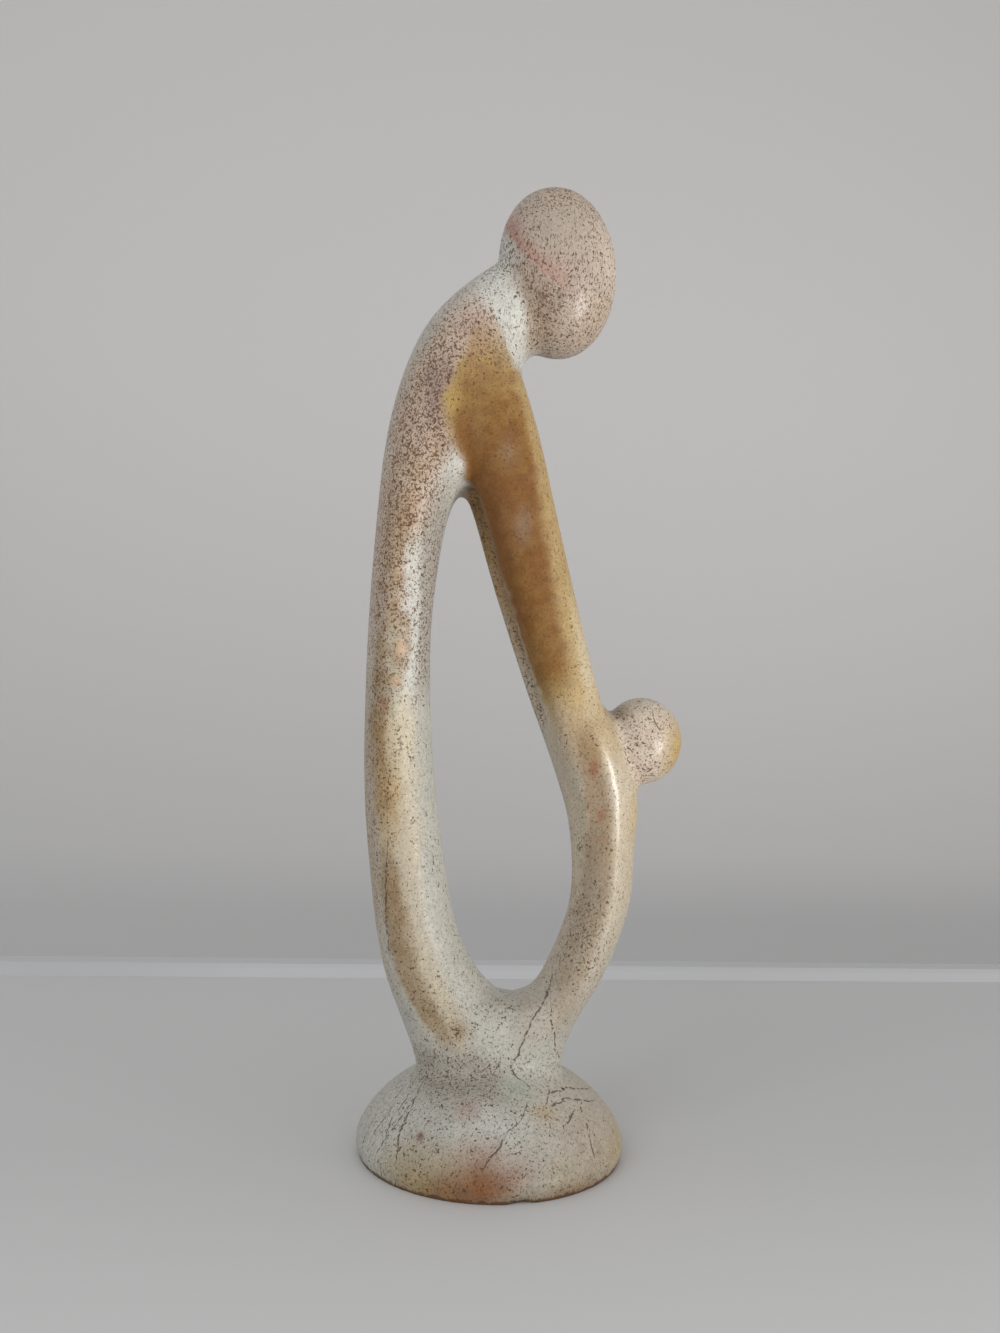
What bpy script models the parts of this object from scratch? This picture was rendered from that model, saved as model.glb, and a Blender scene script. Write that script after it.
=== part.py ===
"""A carved stone mother who bends over her child, both growing out of one round domed base.

The whole work is one solid: lofted limbs, a turned base and egg-shaped heads are joined, remeshed
into one skin, smoothed as polished stone is, and sawn off flat at z = 0.
The mother faces +X, her arms lie either side of the XZ plane, and z = 0 is the underside.
"""

import math
from collections import namedtuple

import bmesh
import bpy
from mathutils import Matrix, Vector

# Driving sizes, in metres
BASE_RADIUS = 0.0337
BASE_FOOT_RADIUS = 0.0325
BASE_HEIGHT = 0.0215
FIGURE_HEIGHT = 0.2325
SHOULDER_SLOT = 0.0095
NAPE_SLOT = 0.0060
ARM_THICKNESS = 0.0095
SLOT_EDGE = 0.0012
SAW_DEPTH = 0.010
SKIN_VOXEL = 0.0011

# The bell of the base: its neck as a share of the radius, its rim as a share of the height, and
# how full it is (2 is an ellipse, 1 a cone)
NECK = 0.30
RIM = 0.14
DOME_POWER = 1.56

# Finish and facets
POLISH = 0.5
POLISH_PASSES = 8
FACETS_KEPT = 0.11
RING_POINTS = 48
STEPS_PER_STATION = 6
TURNED_STEPS = 64
BELL_STEPS = 16

# Forms are drawn in hundredths of the figure's height, measured from the waist above the base.
UNIT = FIGURE_HEIGHT / 100

# back and front are the two edges of a section as seen from the side, depth is its half-width
# across, ridge is the share of the way from back to front where it is widest, and power is 2 for
# an ellipse and less for a lozenge.
Station = namedtuple("Station", "back_x back_z front_x front_z depth ridge power")

MOTHER = (
    Station(-7.3, -5.8, 6.0, -5.8, 5.4, 0.60, 2.0),
    Station(-8.3, 0.0, 5.6, 0.3, 5.2, 0.60, 2.0),
    Station(-9.7, 3.7, 4.2, 6.3, 5.0, 0.54, 1.9),
    Station(-11.5, 8.0, 0.4, 7.6, 4.8, 0.52, 1.85),
    Station(-12.6, 11.7, -2.9, 11.4, 4.6, 0.52, 1.8),
    Station(-13.6, 17.1, -5.0, 17.2, 4.5, 0.52, 1.8),
    Station(-14.9, 27.9, -6.9, 28.1, 4.3, 0.50, 1.8),
    Station(-15.3, 38.9, -8.0, 39.2, 4.3, 0.48, 1.8),
    Station(-15.2, 50.2, -8.0, 50.5, 4.6, 0.42, 1.85),
    Station(-14.7, 61.0, -6.1, 61.8, 5.3, 0.42, 1.95),
    Station(-14.2, 67.5, -2.0, 63.8, 5.8, 0.46, 2.05),
    Station(-13.3, 73.0, 1.0, 68.0, 6.0, 0.48, 2.1),
    Station(-11.8, 78.3, 1.6, 73.5, 5.8, 0.48, 2.1),
    Station(-9.6, 82.9, 1.3, 77.5, 5.2, 0.50, 2.1),
    Station(-6.3, 86.8, 1.9, 79.3, 4.6, 0.50, 2.0),
    Station(-2.6, 89.9, 3.6, 80.4, 4.2, 0.50, 2.0),
    Station(1.5, 92.6, 6.9, 82.4, 3.6, 0.50, 2.0),
)
CHILD = (
    Station(-6.0, -5.8, 7.3, -5.8, 5.4, 0.50, 2.0),
    Station(-4.9, 0.3, 7.7, 0.0, 5.2, 0.50, 2.0),
    Station(0.1, 6.1, 9.0, 3.9, 4.9, 0.50, 1.9),
    Station(4.1, 7.8, 11.6, 8.2, 4.6, 0.50, 1.85),
    Station(6.4, 11.7, 13.5, 12.2, 4.4, 0.52, 1.8),
    Station(8.3, 17.4, 15.1, 17.4, 4.3, 0.54, 1.75),
    Station(8.3, 23.4, 15.5, 23.4, 4.4, 0.55, 1.7),
    Station(7.2, 29.5, 15.75, 29.9, 5.0, 0.53, 1.7),
    Station(5.6, 34.4, 14.0, 36.0, 5.5, 0.50, 1.8),
    Station(5.0, 37.2, 11.4, 39.4, 4.8, 0.50, 2.0),
)

# nape goes from 0 at the shoulder, where the slot between the arms is widest, to 1 at the
# child's nape, and wall is a share of the arm's thickness.
ArmStation = namedtuple("ArmStation", "back_x back_z front_x front_z nape wall")

ARM = (
    ArmStation(-8.4, 77.1, -1.8, 81.0, 0.0, 0.70),
    ArmStation(-8.4, 72.5, 0.4, 77.5, 0.0, 0.92),
    ArmStation(-7.3, 68.5, 2.5, 71.5, 0.0, 1.04),
    ArmStation(-4.8, 64.4, 4.0, 66.0, 0.0, 1.08),
    ArmStation(-3.25, 61.2, 4.85, 62.4, 0.1, 1.06),
    ArmStation(-0.4, 52.1, 7.35, 52.5, 0.3, 1.03),
    ArmStation(3.55, 40.8, 10.5, 41.0, 0.7, 0.98),
    ArmStation(6.1, 34.1, 12.4, 35.0, 1.0, 0.90),
    ArmStation(8.2, 28.0, 13.4, 28.5, 1.0, 0.74),
    ArmStation(9.6, 22.0, 13.2, 22.0, 1.0, 0.45),
)
ARM_RIDGE = 0.42
INNER_POWER = 4.0
OUTER_POWER = 2.2
FAR_HEEL = 0.45

# An egg-shaped head: centre, half-width, half-height, half-depth, its lean towards the face in
# degrees, and how square the outline is behind (2 is an ellipse).
Head = namedtuple("Head", "x z across height depth lean fullness")

MOTHER_HEAD = Head(5.15, 89.8, 6.95, 10.1, 6.0, -3.0, 2.3)
CHILD_HEAD = Head(16.15, 35.35, 4.55, 4.95, 4.3, 0.0, 2.0)


def clear_scene():
    for obj in list(bpy.data.objects):
        bpy.data.objects.remove(obj, do_unlink=True)


def stone_material():
    material = bpy.data.materials.new("polished soapstone")
    material.use_nodes = True
    shader = material.node_tree.nodes["Principled BSDF"]
    shader.inputs["Base Color"].default_value = (0.62, 0.54, 0.43, 1.0)
    shader.inputs["Roughness"].default_value = 0.38
    shader.inputs["Metallic"].default_value = 0.0
    return material


def place(x, z, y=0.0):
    """A point drawn in hundredths of the figure's height, in metres above the base."""
    return Vector((x * UNIT, y, BASE_HEIGHT + z * UNIT))


def between(rows, index, share):
    """The row a share of the way past rows[index], on a Catmull-Rom curve through all the rows."""
    before, start = rows[max(index - 1, 0)], rows[index]
    end, after = rows[index + 1], rows[min(index + 2, len(rows) - 1)]
    return type(start)(*(
        b + 0.5 * share * (c - a + share * (2 * a - 5 * b + 4 * c - d + share * (3 * (b - c) + d - a)))
        for a, b, c, d in zip(before, start, end, after)
    ))


def smooth_rows(rows):
    found = [
        between(rows, index, step / STEPS_PER_STATION)
        for index in range(len(rows) - 1)
        for step in range(STEPS_PER_STATION)
    ]
    return found + [rows[-1]]


def ring(back, front, side, inner, outer, ridge):
    """One section round a spine at Y = side, a share ridge of the way from back to front.

    inner and outer are the half-depth and the superellipse power of its half towards the middle
    of the figure and of its other half.
    """
    spine = back.lerp(front, ridge)
    facing = 1 if side >= 0 else -1
    points = []
    for step in range(RING_POINTS):
        turn = 2 * math.pi * step / RING_POINTS
        depth, power = outer if math.sin(turn) > 0 else inner
        along = abs(math.cos(turn)) ** (2 / power)
        across = math.copysign(abs(math.sin(turn)) ** (2 / power), math.sin(turn))
        reach = (front if math.cos(turn) > 0 else back) - spine
        points.append(spine + reach * along + Vector((0, side + facing * depth * across, 0)))
    return points


def object_of(name, shape):
    mesh = bpy.data.meshes.new(name)
    shape.to_mesh(mesh)
    shape.free()
    return bpy.data.objects.new(name, mesh)


def loft(name, rings):
    """A closed mesh whose sides join each ring to the next, with a flat cap at each end."""
    shape = bmesh.new()
    circles = [[shape.verts.new(point) for point in points] for points in rings]
    for lower, upper in zip(circles, circles[1:]):
        for step in range(RING_POINTS):
            following = (step + 1) % RING_POINTS
            shape.faces.new((lower[step], lower[following], upper[following], upper[step]))
    shape.faces.new(circles[0])
    shape.faces.new(circles[-1])
    bmesh.ops.recalc_face_normals(shape, faces=shape.faces)
    return object_of(name, shape)


def body(name, stations):
    """A limb on the middle plane, the same on both sides of it."""
    rings = []
    for s in smooth_rows(stations):
        half = (s.depth * UNIT, s.power)
        rings.append(ring(place(s.back_x, s.back_z), place(s.front_x, s.front_z), 0.0, half, half, s.ridge))
    return loft(name, rings)


def arm(name, side, heel):
    """One of the mother's arms, on the side -1 or 1 of the slot, its back edge set back by heel."""
    rings = []
    for s in smooth_rows(ARM):
        slot = SHOULDER_SLOT + (NAPE_SLOT - SHOULDER_SLOT) * s.nape
        rings.append(ring(place(s.back_x - heel, s.back_z), place(s.front_x, s.front_z),
                          side * (slot / 2 + SLOT_EDGE), (SLOT_EDGE, INNER_POWER),
                          (ARM_THICKNESS * s.wall - SLOT_EDGE, OUTER_POWER), ARM_RIDGE))
    return loft(name, rings)


def egg(name, head):
    shape = bmesh.new()
    bmesh.ops.create_uvsphere(shape, u_segments=RING_POINTS, v_segments=RING_POINTS // 2, radius=UNIT)
    for vert in shape.verts:
        square = 2 + (head.fullness - 2) * max(0.0, -vert.co.x / UNIT)
        vert.co /= sum(abs(part / UNIT) ** square for part in vert.co) ** (1 / square)
    turned = (Matrix.Translation(place(head.x, head.z))
              @ Matrix.Rotation(math.radians(head.lean), 4, "Y")
              @ Matrix.Diagonal((head.across, head.depth, head.height, 1)))
    bmesh.ops.transform(shape, matrix=turned, verts=shape.verts)
    return object_of(name, shape)


def dome(name):
    """The turned base: a low bell from inside the figure's waist out to the rim, run on past z = 0."""
    neck = NECK * BASE_RADIUS
    rim = RIM * BASE_HEIGHT
    profile = [(0.0, BASE_HEIGHT)]
    for step in range(BELL_STEPS + 1):
        turn = math.pi / 2 * step / BELL_STEPS
        profile.append((neck + (BASE_RADIUS - neck) * math.sin(turn) ** (2 / DOME_POWER),
                        rim + (BASE_HEIGHT - rim) * math.cos(turn) ** (2 / DOME_POWER)))
    profile += [(BASE_FOOT_RADIUS, 0.0), (BASE_FOOT_RADIUS, -SAW_DEPTH / 2), (0.0, -SAW_DEPTH / 2)]
    shape = bmesh.new()
    points = [shape.verts.new((x, 0, z)) for x, z in profile]
    for start, end in zip(points, points[1:]):
        shape.edges.new((start, end))
    turned = object_of(name, shape)
    screw = turned.modifiers.new("turned", "SCREW")
    screw.steps = screw.render_steps = TURNED_STEPS
    screw.use_merge_vertices = True
    screw.merge_threshold = 0.00005
    return turned


def saw_block(name):
    """Everything below the underside, to be sawn off."""
    shape = bmesh.new()
    bmesh.ops.create_cube(shape, size=1.0)
    side = 4 * BASE_RADIUS
    sized = Matrix.Translation((0, 0, -SAW_DEPTH)) @ Matrix.Diagonal((side, side, 2 * SAW_DEPTH, 1))
    bmesh.ops.transform(shape, matrix=sized, verts=shape.verts)
    return object_of(name, shape)


def guide(obj, collection):
    collection.objects.link(obj)
    obj.hide_render = True
    obj.display_type = "WIRE"
    return obj


def main():
    clear_scene()
    work = bpy.data.collections.new("mother and child")
    forms = bpy.data.collections.new("forms joined into the stone")
    cutters = bpy.data.collections.new("cutters")
    for collection in (work, forms, cutters):
        bpy.context.scene.collection.children.link(collection)

    guide(body("child_body", CHILD), forms)
    guide(arm("near_arm", -1, 0.0), forms)
    guide(arm("far_arm", 1, FAR_HEEL), forms)
    guide(egg("mother_head", MOTHER_HEAD), forms)
    guide(egg("child_head", CHILD_HEAD), forms)
    guide(dome("base_dome"), forms)
    saw = guide(saw_block("saw_block"), cutters)

    stone = body("mother_and_child", MOTHER)
    work.objects.link(stone)
    stone.data.materials.append(stone_material())

    join = stone.modifiers.new("one stone", "BOOLEAN")
    join.operation = "UNION"
    join.operand_type = "COLLECTION"
    join.collection = forms
    skin = stone.modifiers.new("skin", "REMESH")
    skin.mode = "VOXEL"
    skin.voxel_size = SKIN_VOXEL
    polish = stone.modifiers.new("polish", "SMOOTH")
    polish.factor = POLISH
    polish.iterations = POLISH_PASSES
    fewer = stone.modifiers.new("fewer facets", "DECIMATE")
    fewer.ratio = FACETS_KEPT
    sawn = stone.modifiers.new("sawn flat", "BOOLEAN")
    sawn.operation = "DIFFERENCE"
    sawn.object = saw


main()
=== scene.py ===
"""A carved soapstone mother who bends over her child, with its stone, its light and its camera.

The plain CAD solid is replaced by a finer skin of the same forms: shells worked out with numpy are
fused into one stone, polished and sawn off flat. The stone's colours are laid in its own space, in
millimetres, so they run through it and show on every side. +X is the side that the mother faces,
the side nearest the camera is -Y, and z = 0 is the underside.
"""

import logging
import math
from dataclasses import dataclass, field
from enum import Enum
from functools import reduce
from itertools import product

import bmesh
import bpy
import numpy as np
from mathutils import Matrix, Vector
from numpy.typing import NDArray


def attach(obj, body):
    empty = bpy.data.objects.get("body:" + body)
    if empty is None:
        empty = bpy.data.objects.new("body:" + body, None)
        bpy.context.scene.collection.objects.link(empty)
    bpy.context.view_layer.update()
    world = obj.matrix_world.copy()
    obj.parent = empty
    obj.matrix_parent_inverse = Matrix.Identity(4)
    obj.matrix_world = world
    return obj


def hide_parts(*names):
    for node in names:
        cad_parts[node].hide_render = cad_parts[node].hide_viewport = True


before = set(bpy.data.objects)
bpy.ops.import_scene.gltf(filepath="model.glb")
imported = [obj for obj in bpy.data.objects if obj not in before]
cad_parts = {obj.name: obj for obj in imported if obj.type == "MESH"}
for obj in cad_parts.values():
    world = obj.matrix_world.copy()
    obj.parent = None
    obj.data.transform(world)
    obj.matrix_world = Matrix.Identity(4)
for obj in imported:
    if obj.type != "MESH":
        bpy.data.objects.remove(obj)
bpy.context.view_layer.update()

Array = NDArray[np.float64]
Colour = tuple[float, float, float]
Row = tuple[float, ...]
Half = tuple[Array, Array | float]
Mesh = bpy.types.Mesh
Socket = bpy.types.NodeSocket

MM = 0.001
CAD_NODE = "mother_and_child"
log = logging.getLogger("sculpture")


# Surfaces


@dataclass
class Shell:
    """A closed surface: its points, in metres, and its faces as rows of point numbers."""

    points: Array
    faces: list[list[int]]


def smooth_rows(rows: Array, steps: int) -> Array:
    """Runs a Catmull-Rom curve through every row of a table.

    Between rows b and c, with neighbours a and d, the value a share t of the way is
    b + t/2 (c - a + t (2a - 5b + 4c - d + t (3 (b - c) + d - a))).

    Args:
        rows: One row for each station.
        steps: How many rows come out for each gap between stations.

    Returns:
        The finer table, with the last station at its end.
    """
    padded = np.concatenate([rows[:1], rows, rows[-1:]])
    a, b, c, d = (padded[k : k + len(rows) - 1, None, :] for k in range(4))
    t = (np.arange(steps) / steps)[None, :, None]
    curve = b + 0.5 * t * (c - a + t * (2 * a - 5 * b + 4 * c - d + t * (3 * (b - c) + d - a)))
    return np.concatenate([curve.reshape(-1, rows.shape[1]), rows[-1:]])


def shell_of_rings(rings: Array) -> Shell:
    """Joins each ring of a grid to the next and closes both ends with one flat face.

    Args:
        rings: Points as rings x points round a ring x 3.

    Returns:
        The closed shell.
    """
    count, around = rings.shape[:2]
    ring, step = np.meshgrid(np.arange(count - 1), np.arange(around), indexing="ij")
    following = (step + 1) % around
    this, other = ring * around, (ring + 1) * around
    sides = np.stack([this + step, this + following, other + following, other + step], axis=-1).reshape(-1, 4)
    last = (count - 1) * around
    ends = [list(range(around - 1, -1, -1)), list(range(last, last + around))]
    return Shell(rings.reshape(-1, 3), sides.tolist() + ends)


def mesh_of(name: str, shells: list[Shell]) -> Mesh:
    """Puts several shells into one mesh.

    Args:
        name: The mesh's name.
        shells: The shells, which may overlap.

    Returns:
        The mesh.
    """
    starts = np.cumsum([0] + [len(shell.points) for shell in shells])
    pairs = zip(starts.tolist(), shells)
    faces = [[start + point for point in face] for start, shell in pairs for face in shell.faces]
    mesh = bpy.data.meshes.new(name)
    mesh.from_pydata(np.concatenate([shell.points for shell in shells]).tolist(), [], faces)
    return mesh


def points_of(mesh: Mesh, kind: str = "co") -> Array:
    """Reads a mesh's points or their normals.

    Args:
        mesh: The mesh.
        kind: What is read: co for the points, or normal.

    Returns:
        Rows of x, y and z.
    """
    found = np.empty(len(mesh.vertices) * 3)
    mesh.vertices.foreach_get(kind, found)
    return found.reshape(-1, 3)


def put_in_scene(name: str, data: bpy.types.ID) -> bpy.types.Object:
    """Makes an object at the origin.

    Args:
        name: Its name.
        data: Its mesh, light or camera.

    Returns:
        The object, which is in the scene.
    """
    made = bpy.data.objects.new(name, data)
    bpy.context.scene.collection.objects.link(made)
    return made


def worked_mesh(worked: bpy.types.Object) -> Mesh:
    """Takes the mesh that an object's modifiers leave.

    Args:
        worked: The object, which is deleted.

    Returns:
        The mesh.
    """
    made = bpy.data.meshes.new_from_object(worked.evaluated_get(bpy.context.evaluated_depsgraph_get()))
    bpy.data.objects.remove(worked, do_unlink=True)
    return made


def smoothstep(low: float, high: float, value: Array) -> Array:
    """0 below low, 1 above high, and t^2 (3 - 2t) between them."""
    t = np.clip((value - low) / (high - low), 0.0, 1.0)
    return t * t * (3 - 2 * t)


# The carving


class Side(Enum):
    """Which side of the middle plane something lies on: the near side is -Y, towards the camera."""

    NEAR = -1
    FAR = 1


@dataclass(frozen=True)
class Proportions:
    """The sizes that every form is drawn from, in metres.

    Forms are drawn in hundredths of the figure's height, measured from the waist above the base.
    """

    base_radius: float = 0.0337
    base_foot_radius: float = 0.0325
    base_height: float = 0.0215
    figure_height: float = 0.2325
    ring_points: int = 96
    steps_per_station: int = 8

    @property
    def unit(self) -> float:
        """One hundredth of the figure's height."""
        return self.figure_height / 100

    def place(self, x: Array, z: Array) -> Array:
        """Points on the middle plane drawn in hundredths, in metres above the base."""
        return np.stack([x * self.unit, np.zeros_like(x), self.base_height + z * self.unit], axis=-1)

    def sections(self, back: Array, front: Array, inner: Half, outer: Half, ridge: Array) -> Array:
        """Rings of two half superellipses round a spine that lies between a back and a front edge.

        At the angle a the point lies |cos a|^(2/p) of the way from the spine to the front edge, or
        to the back edge where cos a < 0, and depth x |sin a|^(2/p) across. The half towards the
        middle of the figure has its own depth and power p.

        Args:
            back: The back edge's points, one for each ring.
            front: The front edge's points.
            inner: Half-depth and power of the half towards the middle of the figure.
            outer: Half-depth and power of the other half.
            ridge: The share of the way from back to front where a ring is deepest.

        Returns:
            The points as rings x points x 3.
        """
        turn = 2 * np.pi * np.arange(self.ring_points) / self.ring_points
        cos, sin = np.cos(turn)[None, :], np.sin(turn)[None, :]
        halves = [[np.broadcast_to(value, ridge.shape)[:, None] for value in half] for half in (outer, inner)]
        depth, power = (np.where(sin > 0, outside, inside) for outside, inside in zip(*halves))
        spine = back + (front - back) * ridge[:, None]
        reach = np.where(cos[..., None] > 0, (front - spine)[:, None, :], (back - spine)[:, None, :])
        points = spine[:, None, :] + reach * (np.abs(cos) ** (2 / power))[..., None]
        points[..., 1] = depth * np.copysign(np.abs(sin) ** (2 / power), sin)
        return points


@dataclass(frozen=True)
class Limb:
    """A limb on the middle plane, such as the mother's body.

    Its stations are rows of back x and z, front x and z, half-width across, the place of the
    ridge and the superellipse power, 2 for an ellipse and less for a lozenge.
    """

    stations: tuple[Row, ...]

    def shell(self, sizes: Proportions) -> Shell:
        """The limb's skin, the same on both sides of the middle plane.

        Args:
            sizes: The figure's proportions.

        Returns:
            The closed skin.
        """
        rows = smooth_rows(np.array(self.stations), sizes.steps_per_station)
        back, front = sizes.place(rows[:, 0], rows[:, 1]), sizes.place(rows[:, 2], rows[:, 3])
        half = (rows[:, 4] * sizes.unit, rows[:, 6])
        return shell_of_rings(sizes.sections(back, front, half, half, rows[:, 5]))


@dataclass(frozen=True)
class Arms:
    """The mother's two arms, either side of a slot that narrows towards the child's nape.

    Its stations are rows of back x and z, front x and z, how far down the slot has narrowed, from
    0 to 1, and the arm's share of its full thickness.
    """

    stations: tuple[Row, ...] = (
        (-8.4, 77.1, -1.8, 81.0, 0.0, 0.70),
        (-8.4, 72.5, 0.4, 77.5, 0.0, 0.92),
        (-7.3, 68.5, 2.5, 71.5, 0.0, 1.04),
        (-4.8, 64.4, 4.0, 66.0, 0.0, 1.08),
        (-3.25, 61.2, 4.85, 62.4, 0.1, 1.06),
        (-0.4, 52.1, 7.35, 52.5, 0.3, 1.03),
        (3.55, 40.8, 10.5, 41.0, 0.7, 0.98),
        (6.1, 34.1, 12.4, 35.0, 1.0, 0.90),
        (8.2, 28.0, 13.4, 28.5, 1.0, 0.74),
        (9.6, 22.0, 13.2, 22.0, 1.0, 0.45),
    )
    shoulder_slot: float = 0.0095
    nape_slot: float = 0.0060
    thickness: float = 0.0095
    slot_edge: float = 0.0012
    ridge: float = 0.42
    inner_power: float = 4.0
    outer_power: float = 2.2
    far_heel: float = 0.45

    def shell(self, sizes: Proportions, side: Side) -> Shell:
        """One arm's skin.

        Args:
            sizes: The sculpture's proportions.
            side: Which arm.

        Returns:
            The closed shell, whose far arm is set back a little.
        """
        rows = smooth_rows(np.array(self.stations), sizes.steps_per_station)
        slot = self.shoulder_slot + (self.nape_slot - self.shoulder_slot) * rows[:, 4]
        heel = self.far_heel if side is Side.FAR else 0.0
        rings = sizes.sections(
            sizes.place(rows[:, 0] - heel, rows[:, 1]),
            sizes.place(rows[:, 2], rows[:, 3]),
            (np.full(len(rows), self.slot_edge), self.inner_power),
            (self.thickness * rows[:, 5] - self.slot_edge, self.outer_power),
            np.full(len(rows), self.ridge),
        )
        rings[..., 1] = side.value * (rings[..., 1] + (slot / 2 + self.slot_edge)[:, None])
        return shell_of_rings(rings)


@dataclass(frozen=True)
class Head:
    """An egg without a face: centre, half-width, half-depth and half-height in hundredths.

    lean tips it towards the face, in degrees, and fullness is how square its outline is behind,
    where 2 is an ellipse. pole is the angle, in degrees, that is left flat at its top and bottom.
    """

    x: float
    z: float
    across: float
    depth: float
    height: float
    lean: float
    fullness: float
    pole: float = 1.0
    rings: int = 48

    def shell(self, sizes: Proportions) -> Shell:
        """The egg's skin.

        A unit sphere of two angles is divided by (|x|^q + |y|^q + |z|^q)^(1/q), where q rises from
        2 to the fullness towards the back, and is then stretched, tipped and moved into place.

        Args:
            sizes: The sculpture's proportions.

        Returns:
            The closed shell.
        """
        pole = math.radians(self.pole)
        down = np.linspace(pole, np.pi - pole, self.rings)
        turn = np.linspace(0, 2 * np.pi, sizes.ring_points, endpoint=False)
        down, turn = np.meshgrid(down, turn, indexing="ij")
        ball = np.stack([np.sin(down) * np.cos(turn), np.sin(down) * np.sin(turn), np.cos(down)], axis=-1)
        square = 2 + (self.fullness - 2) * np.maximum(0.0, -ball[..., :1])
        ball = ball / (np.abs(ball) ** square).sum(axis=-1, keepdims=True) ** (1 / square)
        ball = ball * np.array([self.across, self.depth, self.height]) * sizes.unit
        cos, sin = math.cos(math.radians(self.lean)), math.sin(math.radians(self.lean))
        x, y, z = np.moveaxis(ball, -1, 0)
        tipped = np.stack([x * cos + z * sin, y, z * cos - x * sin], axis=-1)
        return shell_of_rings(tipped + sizes.place(np.array(self.x), np.array(self.z)))


@dataclass(frozen=True)
class Dome:
    """The turned base: a low bell from inside the figure's waist out to a rounded rim."""

    neck: float = 0.30
    rim: float = 0.14
    power: float = 1.56
    run_on: float = 0.005
    steps: int = 40

    def shell(self, sizes: Proportions) -> Shell:
        """The bell's skin, run on below z = 0 so that it can be sawn off there.

        At the angle a from the top the radius is neck + (R - neck) sin(a)^(2/p) and the height is
        rim + (H - rim) cos(a)^(2/p).

        Args:
            sizes: The sculpture's proportions.

        Returns:
            The closed shell.
        """
        neck, rim = self.neck * sizes.base_radius, self.rim * sizes.base_height
        down = np.linspace(0, np.pi / 2, self.steps)
        radius = neck + (sizes.base_radius - neck) * np.sin(down) ** (2 / self.power)
        height = rim + (sizes.base_height - rim) * np.abs(np.cos(down)) ** (2 / self.power)
        radius = np.concatenate([radius, [sizes.base_foot_radius, sizes.base_foot_radius]])
        height = np.concatenate([height, [0.0, -self.run_on]])
        turn = np.linspace(0, 2 * np.pi, sizes.ring_points, endpoint=False)
        level = np.broadcast_to(height[:, None], (len(height), len(turn)))
        rings = [np.outer(radius, np.cos(turn)), np.outer(radius, np.sin(turn)), level]
        return shell_of_rings(np.stack(rings, axis=-1))


@dataclass(frozen=True)
class Dent:
    """A small place where the stone is pitted or chipped: centre, reach and depth, in millimetres."""

    centre: tuple[float, float, float]
    reach: tuple[float, float, float]
    depth: float

    def press(self, points: Array, normals: Array) -> Array:
        """Moves points in along their normals by depth x (1 - d^2)^2, where d is the distance in reaches.

        Args:
            points: The stone's points, in metres.
            normals: Their outward normals.

        Returns:
            The moved points.
        """
        away = (points / MM - np.array(self.centre)) / np.array(self.reach)
        share = np.clip(1 - (away**2).sum(axis=1), 0.0, 1.0) ** 2
        return points - normals * (share * self.depth * MM)[:, None]


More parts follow.
